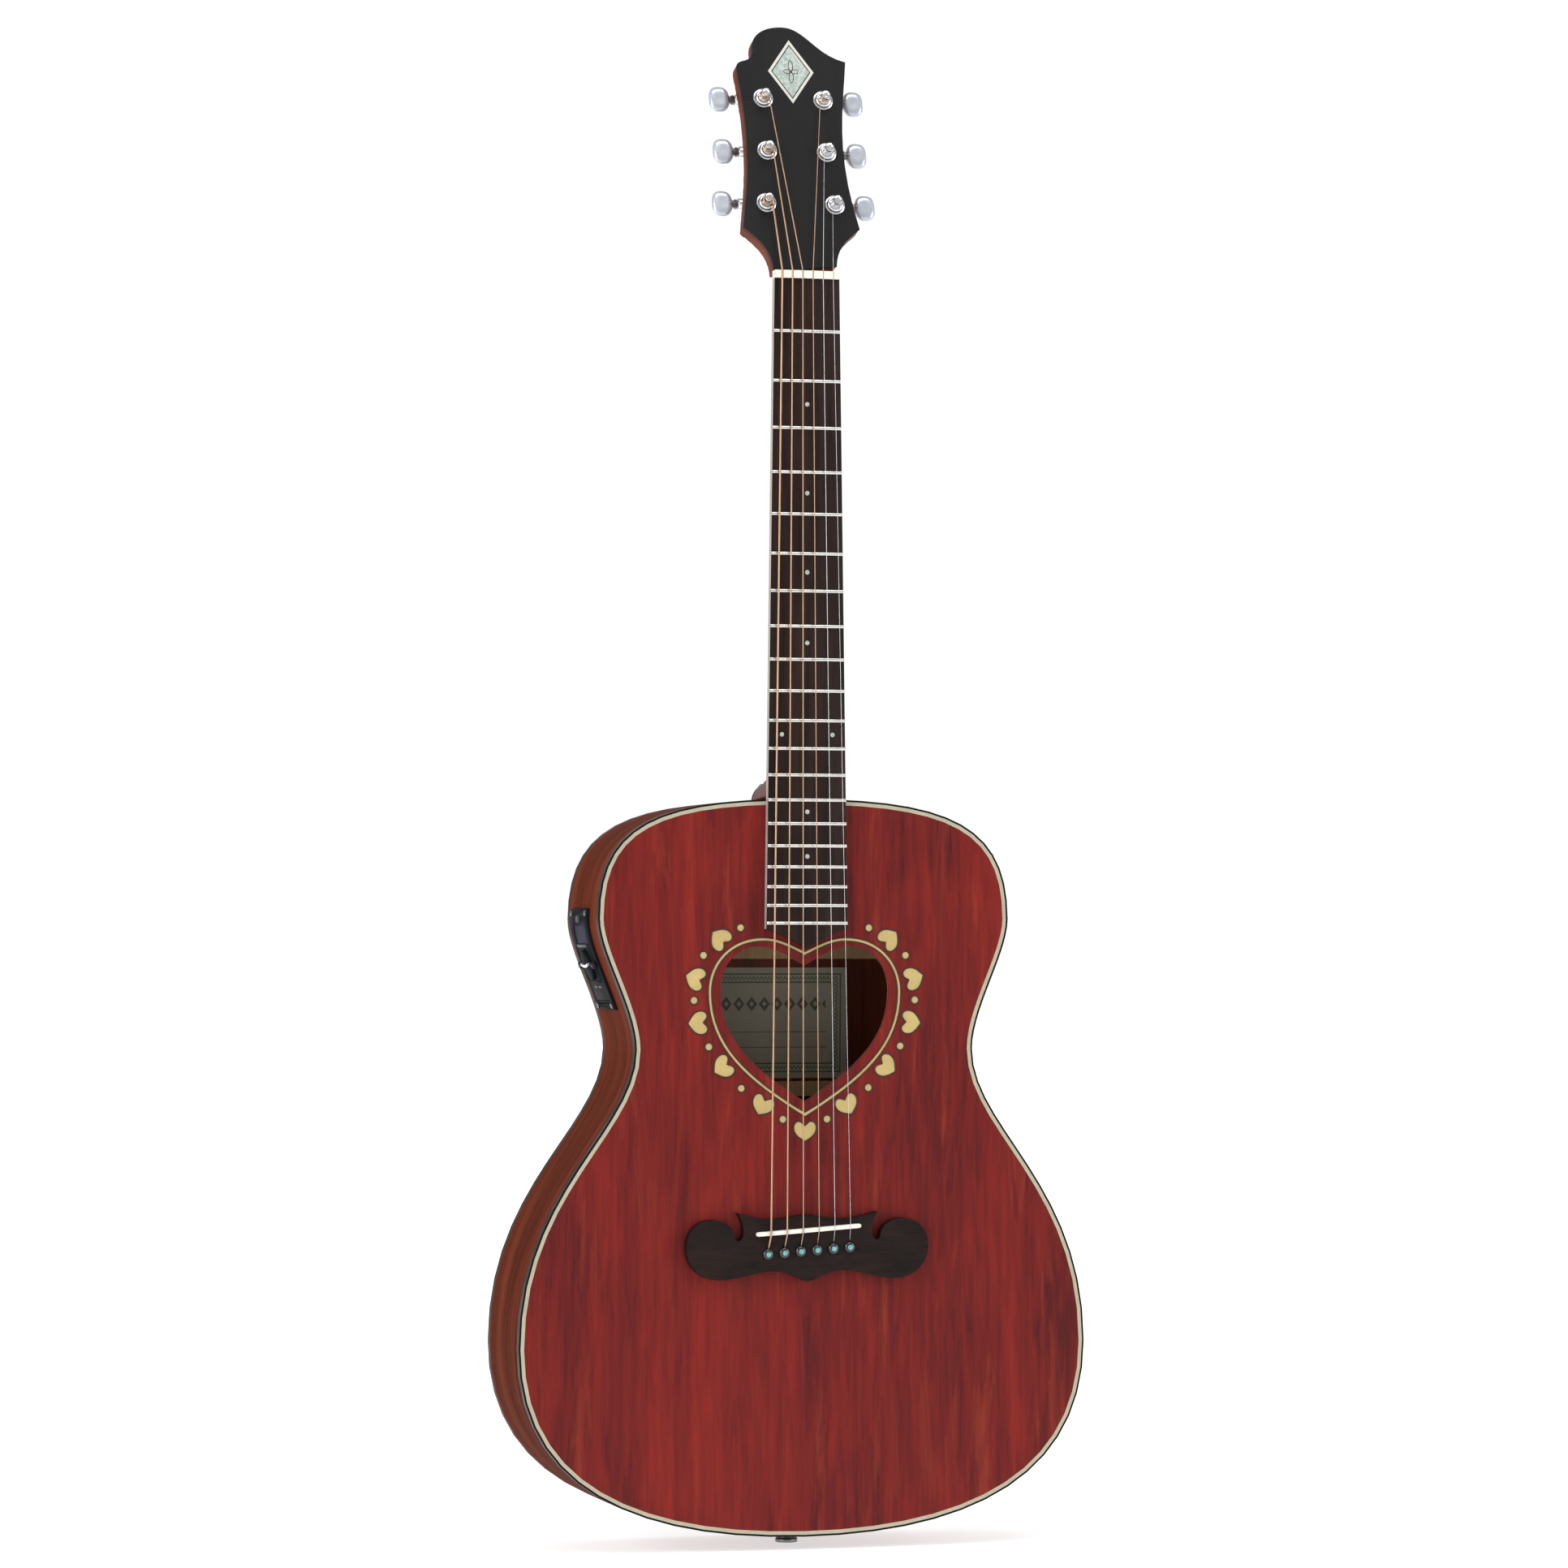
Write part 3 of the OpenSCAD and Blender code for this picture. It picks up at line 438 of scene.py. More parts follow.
def shell(name, colours, scale, roughness=0.25):
    """Pearl or abalone: pools of colour with dark veins."""
    finish = Finish(name, Coat_Weight=0.8, Coat_Roughness=0.05, Roughness=roughness)
    pools = finish.noise((scale, scale, scale), 4, 0.65, 1.4)
    veins = finish.noise((scale * 2.2,) * 3, 3, 0.7, 2.4)
    colour = finish.ramp(pools, [(0.3 + 0.4 * i / (len(colours) - 1), c) for i, c in enumerate(colours)])
    colour = finish.mix(finish.mask(veins, 0.56, 0.64) * 0.5, colour, tuple(c * 0.3 for c in colours[0]))
    return finish.feed(Base_Color=colour).bump(pools, 0.0001, 0.2)


def label_paper():
    """Printed paper: two green borders with a beaded line, plain rules and a row of diamonds."""
    finish = Finish("label_paper", Roughness=0.85)
    centre = (LABEL_LOW + LABEL_HIGH) / 2
    half = (LABEL_HIGH - LABEL_LOW) / 2
    x, _, z = finish.parts(finish.stretched((1, 1, 1), centre))
    edge = (half.x - abs(x)).at_most(half.z - abs(z))

    def band(value, low, high):
        return (value > low * MM) * (value < high * MM)

    beads = finish.node("ShaderNodeTexChecker", None, {
        "Vector": finish.stretched((1, 1, 1), centre), "Scale": 720.0}, out=1)
    green = band(edge, 4.0, 5.0) + band(edge, 9.6, 10.6) + band(edge, 6.2, 8.4) * beads
    inside = edge > 14 * MM
    rules = (band(z, -6.5, -6.0) + band(z, -17.0, -16.5)) * inside
    row = abs(finish.node("ShaderNodeMath", {"operation": "PINGPONG"}, {0: x + 0.1, 1: 9 * MM})
              - 4.5 * MM) + abs(z - 13 * MM) * 0.8
    ornament = (row < 4.0 * MM) * (row > 1.6 * MM) * (edge > 15 * MM)
    age = finish.noise((30, 30, 30), 4, 0.6)
    paper = finish.mix(finish.mask(age, 0.3, 0.7), (0.36, 0.33, 0.25), (0.43, 0.40, 0.32))
    colour = finish.mix(green.at_most(1.0) * 0.8, paper, (0.03, 0.10, 0.04))
    colour = finish.mix((rules + ornament).at_most(1.0) * 0.75, colour, (0.04, 0.035, 0.03))
    return finish.feed(Base_Color=colour).bump(age, 0.00008, 0.2)


def make_finishes(colours):
    """Every finish of the guitar, by name."""
    red_brown, deep_brown = tuple(colours.mahogany_light), tuple(colours.mahogany_dark)
    made = {
        "top": stained_top(colours),
        "side": wood("mahogany_side", deep_brown, red_brown, (9, 160, 9), (60, 900, 60), (4, 40, 4),
                     specular=0.001),
        "back": wood("mahogany_back", deep_brown, red_brown, (150, 9, 5), (900, 60, 22), (34, 8, 3)),
        "neck": wood("mahogany_neck", deep_brown, red_brown, (120, 120, 6), (800, 800, 24), (30, 30, 4),
                     specular=0.08),
        "board": wood("rosewood_board", (0.010, 0.006, 0.006), (0.034, 0.019, 0.015),
                      (260, 120, 12), (1300, 600, 30), (60, 60, 6), 0.5, 0.12, 0.6),
        "bridge": wood("rosewood_bridge", (0.007, 0.005, 0.005), (0.023, 0.012, 0.010),
                       (40, 160, 260), (90, 900, 1200), (30, 80, 90), 0.5, 0.12, 0.6),
        "spruce": wood("bare_spruce", (0.36, 0.22, 0.11), (0.55, 0.37, 0.2),
                       (300, 300, 8), (900, 900, 20), (20, 20, 4), 0.65, 0.1, 0.2),
        "veneer": wood("black_veneer", (0.006, 0.006, 0.007), (0.012, 0.012, 0.013),
                       (200, 100, 8), (900, 400, 20), (20, 20, 5), 0.5, 0.2, 0.3),
        "black": plain("black_trim", (0.010, 0.010, 0.011), 0.4, speck=0.3, specular=0.05),
        "cream": plain("cream_purfling", (0.46, 0.42, 0.30), 0.4, speck=0.16, grain=300.0),
        # Pale grey-brown for the fingerboard's outer sides: painted light, standing for dark rosewood lit
        # strongly from the left.
        "painted_light_board_side": plain("painted_light_board_side", (0.45, 0.40, 0.36), 0.45, speck=0.2, grain=300.0),
        "gold": plain("gold_inlay", tuple(colours.gold), 0.42, speck=0.22, grain=500.0),
        "outline": plain("inlay_outline", (0.045, 0.010, 0.007), 0.7, speck=0.2),
        "bone": plain("bone", (0.82, 0.80, 0.72), 0.35, speck=0.08, grain=400.0),
        "pin": plain("pin_plastic", (0.010, 0.010, 0.011), 0.2, coat=0.6, speck=0.2),
        "steel": plain("steel", (0.62, 0.62, 0.63), 0.3, 1.0, 0.12),
        "nickel": plain("nickel_silver", (0.80, 0.79, 0.75), 0.22, 1.0, 0.08),
        "bronze": plain("bronze_winding", (0.60, 0.38, 0.24), 0.38, 1.0, 0.25, grain=2500.0),
        "plain_string": plain("plain_string", (0.72, 0.72, 0.74), 0.3, 1.0, 0.1),
        "chrome": plain("chrome", (0.86, 0.86, 0.88), 0.12, 1.0, 0.04),
        "button": plain("button_chrome", (0.60, 0.64, 0.71), 0.24, 0.45, 0.05),
        "collar": plain("grey_collar", (0.22, 0.21, 0.21), 0.4, 1.0, 0.2),
        "case": plain("case_plastic", (0.012, 0.013, 0.016), 0.5, speck=0.25, grain=2600.0,
                      specular=0.006),
        "pad": plain("pad_plastic", (0.030, 0.029, 0.032), 0.6, speck=0.2, grain=2600.0,
                     specular=0.01),
        "grey": plain("grey_plastic", (0.10, 0.10, 0.11), 0.45, speck=0.12, specular=0.05),
        "silver": plain("silver_plastic", (0.82, 0.82, 0.84), 0.25, 0.6, speck=0.06),
        "display": plain("display_window", (0.008, 0.011, 0.030), 0.3, speck=0.3, specular=0.006),
        "pearl": shell("white_pearl", [(0.40, 0.48, 0.44), (0.58, 0.62, 0.58), (0.28, 0.38, 0.34),
                                       (0.62, 0.63, 0.58)], 260),
        "abalone": shell("abalone", [(0.01, 0.10, 0.12), (0.06, 0.38, 0.40), (0.20, 0.55, 0.50),
                                     (0.10, 0.16, 0.36)], 700, 0.15),
        "endpin": plain("endpin_metal", (0.30, 0.30, 0.31), 0.3, 1.0, 0.15),
        "border": plain("diamond_border", (0.66, 0.65, 0.57), 0.35, speck=0.06),
        "label": label_paper(),
    }
    return {key: finish.material for key, finish in made.items()}


# ================= Sound box =================
def edge_lines(piece, name, radius):
    """Thin dark lines round the front edges of inlays, half sunk in the top."""
    mesh = bpy.data.meshes.new(name)
    shape = bmesh.new()
    shape.from_mesh(piece.data)
    front = min(v.co.y for v in shape.verts) + 0.05 * MM
    kept = [e for e in shape.edges if all(v.co.y < front for v in e.verts)
            and len({abs(f.normal.y) > 0.7 for f in e.link_faces}) == 2]
    places = {}
    lines = bmesh.new()
    for edge in kept:
        ends = []
        for vert in edge.verts:
            if vert.index not in places:
                places[vert.index] = lines.verts.new(vert.co)
            ends.append(places[vert.index])
        lines.edges.new(ends)
    lines.to_mesh(mesh)
    lines.free()
    shape.free()
    obj = pick(linked(name, mesh))
    bpy.ops.object.convert(target="CURVE")
    obj.data.bevel_depth = radius
    obj.data.bevel_resolution = 1
    bpy.ops.object.convert(target="MESH")
    return finish_piece(bpy.context.object, name, ROOT, "outline")


def make_sound_box():
    """The body's own shapes with their finishes, the inlays' outlines and the back's strip."""
    for names in (("soundboard", "stained_soundboard", "red_stained_spruce", "top"),
                  ("back_plate", "bookmatched_back", "mahogany", "back"),
                  ("rib_bass", "bent_side_bass", "mahogany", "side"),
                  ("rib_treble", "bent_side_treble", "mahogany", "side"),
                  ("top_binding", "front_edge_binding", "black_trim", "black"),
                  ("back_binding", "back_edge_binding", "black_trim", "black"),
                  ("top_purfling", "front_purfling_line", "cream_purfling", "cream"),
                  ("linings", "side_lining_strips", "pale_wood", "spruce")):
        finished_copy(*names)
    ring = finished_copy("sound_hole_inlay", "heart_ring", "gold_inlay", "gold")
    hearts = finished_copy("rosette_inlays", "heart_and_dot_inlays", "gold_inlay", "gold")
    edge_lines(ring, "heart_ring_outline", 0.5 * MM)
    edge_lines(hearts, "heart_and_dot_outlines", 0.6 * MM)
    make_centre_strip()


def make_centre_strip():
    """The black line down the back's middle, laid along its slope from heel to tail."""
    length = BODY_HIGH.z - BODY_LOW.z
    strip = block((7 * MM, 0.5 * MM, length - 8 * MM))
    heel_y, tail_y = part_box("heel_cap")[1].y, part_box("back_plate")[1].y
    lean = math.atan2(tail_y - heel_y, length)
    middle = Vector((0, (heel_y + tail_y) / 2 + 0.05 * MM, (BODY_LOW.z + BODY_HIGH.z) / 2))
    settle(strip, Matrix.Translation(middle) @ Matrix.Rotation(lean, 4, "X"))
    bevelled(strip, 0.2 * MM, 2)
    finish_piece(strip, "back_centre_strip", ROOT, "black")


# ================= Bridge =================
def string_x(i, spacing, shift=0.0):
    return (i / 5 - 0.5) * spacing + shift


def outer_rim(shape):
    """Edges where the bridge's front meets its full-height outer wall."""
    near = 0.05 * MM
    front = BRIDGE_FRONT + near
    rim = []
    for edge in shape.edges:
        if len(edge.link_faces) == 2 and all(v.co.y < front for v in edge.verts):
            middle = (edge.verts[0].co + edge.verts[1].co) / 2
            slotted = abs(middle.x) < SLOTTED_HALF_W and SLOTTED_Z[0] < middle.z < SLOTTED_Z[1]
            walls = [f for f in edge.link_faces if abs(f.normal.y) < 0.3]
            if walls and not slotted and max(v.co.y for v in walls[0].verts) > -near:
                rim.append(edge)
    return rim


def make_bridge():
    obj = flattened(merged_copy("bridge"))
    shape = bmesh.new()
    shape.from_mesh(obj.data)
    bmesh.ops.bevel(shape, geom=outer_rim(shape), offset=1.5 * MM, segments=4, profile=0.6,
                    affect="EDGES", clamp_overlap=True)
    shape.to_mesh(obj.data)
    shape.free()
    smoothed(obj, 35)
    finish_piece(obj, "carved_bridge", ROOT, "bridge", ("bridge",))
    saddle = merged_copy("saddle")
    modify(saddle, "REMESH", mode="VOXEL", voxel_size=0.35 * MM)
    modify(saddle, "SMOOTH", factor=0.5, iterations=5)
    finish_piece(smoothed(saddle, 60), "bone_saddle", ROOT, "bone", ("saddle",))


def make_bridge_pins():
    pin_profile = [(0, -20), (2.1, -20), (2.5, -1), (2.6, 0), (3.5, 0.1), (3.75, 0.5), (3.7, 1.1),
                   (3.3, 1.7), (2.6, 2.15), (1.5, 2.45), (0, 2.5)]
    dot_profile = [(0, 2.3), (1.75, 2.3), (1.7, 2.52), (1.0, 2.7), (0, 2.66)]
    pins, dots = [], []
    for i in range(6):
        x = string_x(i, PIN_SPACING, STRING_SHIFT / 2)
        place = axes_at((x, BRIDGE_FRONT, PIN_ROW_Z + x * SADDLE_SLOPE), (0, -1, 0), (1, 0, 0))
        pins.append(smoothed(settle(turned(pin_profile, 28), place), 45))
        dots.append(smoothed(settle(turned(dot_profile, 20), place), 45))
    finish_piece(joined(pins), "domed_bridge_pins", ROOT, "pin",
                 ("bridge_pins",))
    finish_piece(joined(dots), "bridge_pin_dots", ROOT, "abalone")


# ================= Neck and fingerboard =================
def make_neck():
    neck = merged_copy("neck")
    modify(neck, "REMESH", mode="VOXEL", voxel_size=1.1 * MM)
    modify(neck, "SMOOTH", factor=0.5, iterations=7)
    finish_piece(smoothed(neck, 80), "carved_neck", ROOT, "neck", ("neck",))
    finished_copy("heel_cap", "heel_end_cap", "black_trim", "black")
    board = smoothed(merged_copy("fingerboard"), 20)
    finish_piece(board, "slotted_fingerboard", ROOT, "board", ("fingerboard",))
    # Both outer side faces of the board take the pale finish: painted light on the rosewood, as if lit
    # strongly from the left.
    board.data.materials.append(FINISHES["painted_light_board_side"])
    for face in board.data.polygons:
        face.material_index = int(abs(face.normal.x) > 0.9 and abs(face.center.x) > NUT_HIGH.x - MM)
    finished_copy("frets", "crowned_frets", "nickel_silver", "nickel", 50)
    finished_copy("fret_markers", "pearl_dots", "pearl", "pearl")
    finished_copy("nut", "bone_nut", "bone", "bone")


def diamond_ring(outer, inner, rise, centre):
    """A diamond-shaped frame on the headstock's face, from one share of its size to another."""
    mesh = bpy.data.meshes.new("diamond")
    shape = bmesh.new()
    rows = []
    for share, level in ((outer, DIAMOND_DEPTH), (outer, -rise), (inner, -rise), (inner, DIAMOND_DEPTH)):
        half_w, half_h = DIAMOND_HALF_W * share, DIAMOND_HALF_H * share
        rows.append([shape.verts.new((x * half_w, level, centre + z * half_h))
                     for x, z in ((0, 1), (1, 0), (0, -1), (-1, 0))])
    for near, far in zip(rows, rows[1:] + rows[:1]):
        for i in range(4):
            shape.faces.new((near[i], near[(i + 1) % 4], far[(i + 1) % 4], far[i]))
    shape.to_mesh(mesh)
    shape.free()
    return outward(linked("diamond", mesh))


def diamond_plate(share, rise, centre):
    """The flat diamond inside the ring."""
    bpy.ops.mesh.primitive_cylinder_add(vertices=4, radius=1, depth=DIAMOND_DEPTH + rise)
    obj = bpy.context.object
    obj.scale = (DIAMOND_HALF_W * share, DIAMOND_HALF_H * share, 1)
    middle = Matrix.Translation((0, (DIAMOND_DEPTH - rise) / 2, centre))
    return outward(settle(obj, middle @ Matrix.Rotation(math.pi / 2, 4, "X")))


def petal(turn, reach, centre):
    """A thin loop on the diamond, from its middle out."""
    angle = turn * math.pi / 2
    ring = []
    for k in range(24):
        t = 2 * math.pi * k / 24
        along, wide = reach * (0.5 + 0.5 * math.cos(t)), 1.5 * MM * math.sin(t)
        ring.append((along * math.cos(angle) - wide * math.sin(angle), -0.1 * MM,
                     centre + along * math.sin(angle) + wide * math.cos(angle)))
    return tube(ring, 0.22 * MM, closed=True)


def make_headstock():
    finished_copy("headstock_veneer", "headstock_face", "black_headstock_veneer", "veneer")
    centre = (HEAD.inverted() @ ((DIAMOND_LOW + DIAMOND_HIGH) / 2)).z
    line_share, plate_share = 0.86, 0.81
    border = settle(diamond_ring(1.0, line_share, 0.05 * MM, centre), HEAD)
    finish_piece(border, "diamond_border", ROOT, "border", ("headstock_inlay",))
    line = settle(diamond_ring(line_share, plate_share, 0.03 * MM, centre), HEAD)
    finish_piece(line, "diamond_line", ROOT, "black")
    plate = settle(diamond_plate(plate_share, 0.05 * MM, centre), HEAD)
    finish_piece(plate, "diamond_pearl", ROOT, "pearl")
    petals = [petal(turn, (5.0 * MM, 8.2 * MM)[turn % 2], centre) for turn in range(4)]
    petals = settle(joined(petals), HEAD)
    finish_piece(petals, "diamond_petals", ROOT, "outline")


# ================= Strings =================
def side_of(i):
    """-1 where the string's tuner is on the bass side, 1 on the treble side."""
    return -1 if i < 3 else 1


def post_frame(i):
    """The post's frame: Z out of the headstock's face, X out to the side."""
    return joint_frame(f"post_{i + 1}_turn", (side_of(i), 0, 0))


def wrap_radius(i):
    """From the post's axis to the middle of the string wound on it."""
    return WAIST_R + STRING_R[i] + 0.02 * MM


def wrap_start(i):
    """How far in front of the headstock's face the first turn of string lies."""
    return WRAP_DEPTH - 2.2 * STRING_R[i]


def make_strings():
    """Each string runs from under its pin, over the saddle and the nut, to its post."""
    slot_floor_y = NUT_LOW.y + 0.9 * MM
    groups = {"wound": [], "plain": []}
    for i in range(6):
        r = STRING_R[i]
        x_nut = string_x(i, NUT_SPACING)
        x_saddle = string_x(i, SADDLE_SPACING, STRING_SHIFT)
        x_pin = string_x(i, PIN_SPACING, STRING_SHIFT / 2)
        z_saddle = (SADDLE_LOW.z + SADDLE_HIGH.z) / 2 + (x_saddle - 0.1 * MM) * SADDLE_SLOPE
        over_saddle = SADDLE_LOW.y - r + x_saddle ** 2 / (2 * CROWN_R)
        z_pin = PIN_ROW_Z + x_pin * SADDLE_SLOPE + 1.7 * MM
        at_nut = Vector((x_nut, slot_floor_y - r + x_nut ** 2 / (2 * CROWN_R), NUT_LOW.z))
        behind_nut = at_nut + Vector((0, 0, NUT_HIGH.z - NUT_LOW.z))
        end = post_frame(i) @ Vector((-wrap_radius(i), 0, wrap_start(i)))
        points = [
            Vector((x_pin, BRIDGE_FRONT + 9 * MM, z_pin - 0.2 * MM)),
            Vector((x_pin, BRIDGE_FRONT + 1.6 * MM, z_pin)),
            Vector((x_pin, BRIDGE_FRONT + 0.1 * MM, z_pin + 0.6 * MM)),
            Vector((x_saddle, over_saddle + 0.25 * MM, z_saddle - 1.6 * MM)),
            Vector((x_saddle, over_saddle, z_saddle - 0.6 * MM)),
            Vector((x_saddle, over_saddle, z_saddle + 0.6 * MM)),
            at_nut, behind_nut, end]
        groups["wound" if i < 4 else "plain"].append(tube(points, r, 12))
    for group, slot, finish in (("wound", "bronze_winding", "bronze"), ("plain", "steel", "plain_string")):
        obj = smoothed(joined(groups[group]), 60)
        finish_piece(obj, f"{group}_string_set", ROOT, finish, (f"{group}_strings",))


# ================= Tuners =================
def make_posts():
    """Capstans with a string hole, and the turns of string wound on them."""
    profile = [(0, -19.5), (3.1, -19.5), (3.1, 3.6), (2.62, 4.2), (2.6, 7.2), (2.9, 7.8), (3.1, 8.2),
               (3.1, 9.8), (2.8, 10.25), (1.9, 10.4), (1.5, 10.0), (0, 9.9)]
    wound_height = 3.2 * MM
    for i in range(6):
        place = post_frame(i)
        post = turned(profile, 36)
        bpy.ops.mesh.primitive_cylinder_add(vertices=20, radius=0.85 * MM, depth=12 * MM,
                                            location=(0, 0, 8.7 * MM), rotation=(0, math.pi / 2, 0))
        drill = bpy.context.object
        modify(post, "BOOLEAN", object=drill, operation="DIFFERENCE")
        bpy.data.objects.remove(drill)
        settle(post, place @ Matrix.Rotation(0.5 + 0.45 * i, 4, "Z"))
        body = f"tuner_post_{i + 1}"
        finish_piece(smoothed(post, 40), f"capstan_{i + 1}", body, "chrome",
                     (f"tuner_post_{i + 1}",))
        pitch = 2.1 * STRING_R[i]
        turns = min(4.5, wound_height / pitch)
        steps = int(turns * 20)
        points = []
        for k in range(steps + 1):
            angle = math.pi + 2 * math.pi * turns * k / steps
            height = wrap_start(i) + pitch * turns * k / steps
            points.append(place @ Vector((wrap_radius(i) * math.cos(angle),
                                          -wrap_radius(i) * math.sin(angle) * side_of(i), height)))
        points.append(place @ Vector((0, 0, 10.6 * MM)))
        wrap = tube(points, STRING_R[i], 8)
        slot, finish = ("bronze_winding", "bronze") if i < 4 else ("steel", "plain_string")
        finish_piece(smoothed(wrap, 60), f"string_turns_{i + 1}", body, finish)


def make_bushings():
    """Flanged rings round the posts, with sleeves that run through the headstock."""
    profile = [(3.16, -11), (4.9, -11), (4.9, 0), (6.9, 0), (7.0, 0.3), (6.8, 0.9), (6.3, 1.2),
               (5.9, 1.25), (5.7, 1.6), (5.5, 2.6), (5.0, 3.2), (4.3, 3.4), (3.6, 3.3), (3.16, 3.0),
               (3.16, -11)]
    rings = [smoothed(settle(turned(profile, 44), post_frame(i)), 40) for i in range(6)]
    finish_piece(joined(rings), "post_bushings", ROOT, "chrome", ("tuner_bushings",))


def make_buttons():
    """Chrome buttons: a rounded oval, pinched a little where the fingers hold it."""
    half_wide, half_thick, half_long = 9.1 * MM, 3.5 * MM, 7.1 * MM
    reach = 26 * MM
    stem_profile = [(0, -4.8), (2.19, -4.8), (2.19, 15.8), (3.1, 15.9), (3.3, 16.4), (3.3, 17.6),
                    (2.5, 18.0), (2.5, 19.0), (3.0, 19.4), (3.0, 20.6), (0, 20.6)]
    for i in range(6):
        place = joint_frame(f"button_{i + 1}_turn", (0, math.sin(HEAD_TILT), math.cos(HEAD_TILT)))
        bpy.ops.mesh.primitive_uv_sphere_add(segments=48, ring_count=32, radius=1)
        knob = bpy.context.object
        for vert in knob.data.vertices:
            x, y, z = vert.co
            wide = math.copysign(abs(x) ** 0.68, x)
            out = math.copysign(abs(z) ** 0.72, z)
            pinched = y * (1 - 0.22 * math.exp(-(x ** 2 + z ** 2) / 0.55 ** 2))
            taper = 1 - 0.13 * min(z, 0) ** 2
            vert.co = (wide * half_wide * taper, pinched * half_thick, out * half_long + reach)
        settle(knob, place)
        body = f"tuner_button_{i + 1}"
        finish_piece(smoothed(knob, 60), f"chrome_button_{i + 1}", body, "button",
                     (f"tuner_button_{i + 1}",))
        stem = settle(turned(stem_profile, 32), place)
        finish_piece(smoothed(stem, 40), f"button_stem_{i + 1}", body, "collar")


def make_housings():
    """Cast gear cases with soft edges, a neck for the stem and a mounting ear."""
    back = -FACE_TO_BACK
    ear_profile = [(0, -2.6), (2.7, -2.6), (3, -2.2), (3, 0), (0, 0)]
    neck_profile = [(0, 7), (4.6, 7), (4.6, 9.5), (4.1, 10.5), (4.1, 14.6), (3.7, 15.2), (0, 15.2)]
    screw_profile = [(0, 0), (2.3, 0), (2.3, 0.5), (1.6, 0.9), (0, 1)]
    ear_place = Matrix.Translation((0, -11 * MM, back))
    neck_place = Matrix.Translation((0, 6 * MM, back - 4.8 * MM)) @ Matrix.Rotation(math.pi / 2, 4, "Y")
    screw_place = Matrix.Translation((0, 1.5 * MM, back - 12.6 * MM)) @ Matrix.Rotation(math.pi, 4, "X")
    cases = []
    for i in range(6):
        case = bevelled(block((17 * MM, 17 * MM, 12.6 * MM), (0, 1.5 * MM, back - 6.4 * MM)), 3 * MM, 5)
        ear = settle(turned(ear_profile, 28), ear_place)
        foot = bevelled(block((6 * MM, 6 * MM, 2.5 * MM), (0, -8.4 * MM, back - 1.25 * MM)), 0.5 * MM, 2)
        neck = settle(turned(neck_profile, 32), neck_place)
        screw = settle(turned(screw_profile, 24), screw_place)
        group = joined([case, ear, foot, neck, screw])
        settle(group, post_frame(i) @ Matrix.Diagonal((1, side_of(i), 1, 1)))
        outward(group)
        cases.append(smoothed(group, 35))
    finish_piece(joined(cases), "cast_gear_cases", ROOT, "chrome", ("tuner_housings",))


# ================= Preamp and hardware =================
def on_panel(panel, y, z):
    """The frame of a spot on the panel's face: Z straight out, X up the side."""
    hit, place, normal, _ = panel.ray_cast(Vector((-0.3, y, z)), Vector((1, 0, 0)))
    if not hit:
        raise RuntimeError(f"the panel has no face at y {y}, z {z}")
    return axes_at(place, normal, (0, 0, 1))


def make_panel():
    """The panel with its two pads, a bar under the display and four corner screws."""
    panel = smoothed(bevelled(flattened(merged_copy("preamp_panel")), 0.45 * MM, 2, 50), 35)
    low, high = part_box("preamp_panel")
    show_low, show_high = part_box("preamp_display")
    middle = (low.y + high.y) / 2
    dial_z = JOINTS["volume_turn"]["pos_m"][2]
    screw_profile = [(0, -1), (2.1, -1), (2.1, 0.5), (1.6, 0.9), (0.7, 1.0), (0.5, 0.6), (0, 0.6)]
    pads, screws = [], []
    for above_dial, tall in ((14.6 * MM, 3.4 * MM), (-11.75 * MM, 0.7 * MM)):
        pad = bevelled(block((tall, 26 * MM, 1.2 * MM), (0, 0, 0.3 * MM)), 0.3 * MM, 2)
        pads.append(settle(pad, on_panel(panel, middle, dial_z + above_dial)))
    bar_long = (show_high.y - show_low.y) * 0.8
    bar = bevelled(block((1.8 * MM, bar_long, 1.4 * MM), (0, 0, 0.4 * MM)), 0.3 * MM, 2)
    settle(bar, on_panel(panel, middle, show_low.z - 1.5 * MM))
    for y in (low.y + 5 * MM, high.y - 5 * MM):
        for z in (high.z - 3.2 * MM, low.z + 2.8 * MM):
            screws.append(smoothed(settle(turned(screw_profile, 24), on_panel(panel, y, z)), 35))
    finish_piece(smoothed(joined(pads), 35), "panel_pads", ROOT, "pad")
    finish_piece(smoothed(bar, 35), "display_bar", ROOT, "grey")
    finish_piece(joined(screws), "panel_screws", ROOT, "collar")
    finish_piece(panel, "moulded_panel", ROOT, "case", ("preamp_panel",))
    finished_copy("preamp_display", "display_glass", "display_window", "display")


def make_dial():
    """The volume dial, with fine ribs round its edge and a curved grip bar across it."""
    place = joint_frame("volume_turn", (0, 0, 1))
    grip_long, grip_bow = 20 * MM, 1.3 * MM
    bpy.ops.mesh.primitive_cylinder_add(vertices=144, radius=10.4 * MM, depth=5.1 * MM,
                                        location=(0, 0, 1.6 * MM))
    dial = settle(bpy.context.object)
    groove = 0.985
    for index, vert in enumerate(dial.data.vertices):
        if (index // 2) % 2:
            vert.co.x *= groove
            vert.co.y *= groove
    bevelled(dial, 0.5 * MM, 2, 60)
    settle(dial, place)
    finish_piece(smoothed(dial, 30), "knurled_dial", "volume_dial",
                 "case", ("volume_dial",))
    grip = block((1.8 * MM, grip_long, 2.0 * MM), (0, 0, 4.7 * MM))
    pick(grip)
    bpy.ops.object.mode_set(mode="EDIT")
    bpy.ops.mesh.select_all(action="SELECT")
    bpy.ops.mesh.subdivide(number_cuts=12)
    bpy.ops.object.mode_set(mode="OBJECT")
    for vert in grip.data.vertices:
        vert.co.x += grip_bow * (2 * vert.co.y / grip_long) ** 2
    bevelled(grip, 0.6 * MM, 3)
    finish_piece(smoothed(settle(grip, place), 40), "dial_grip_bar", "volume_dial",
                 "silver")


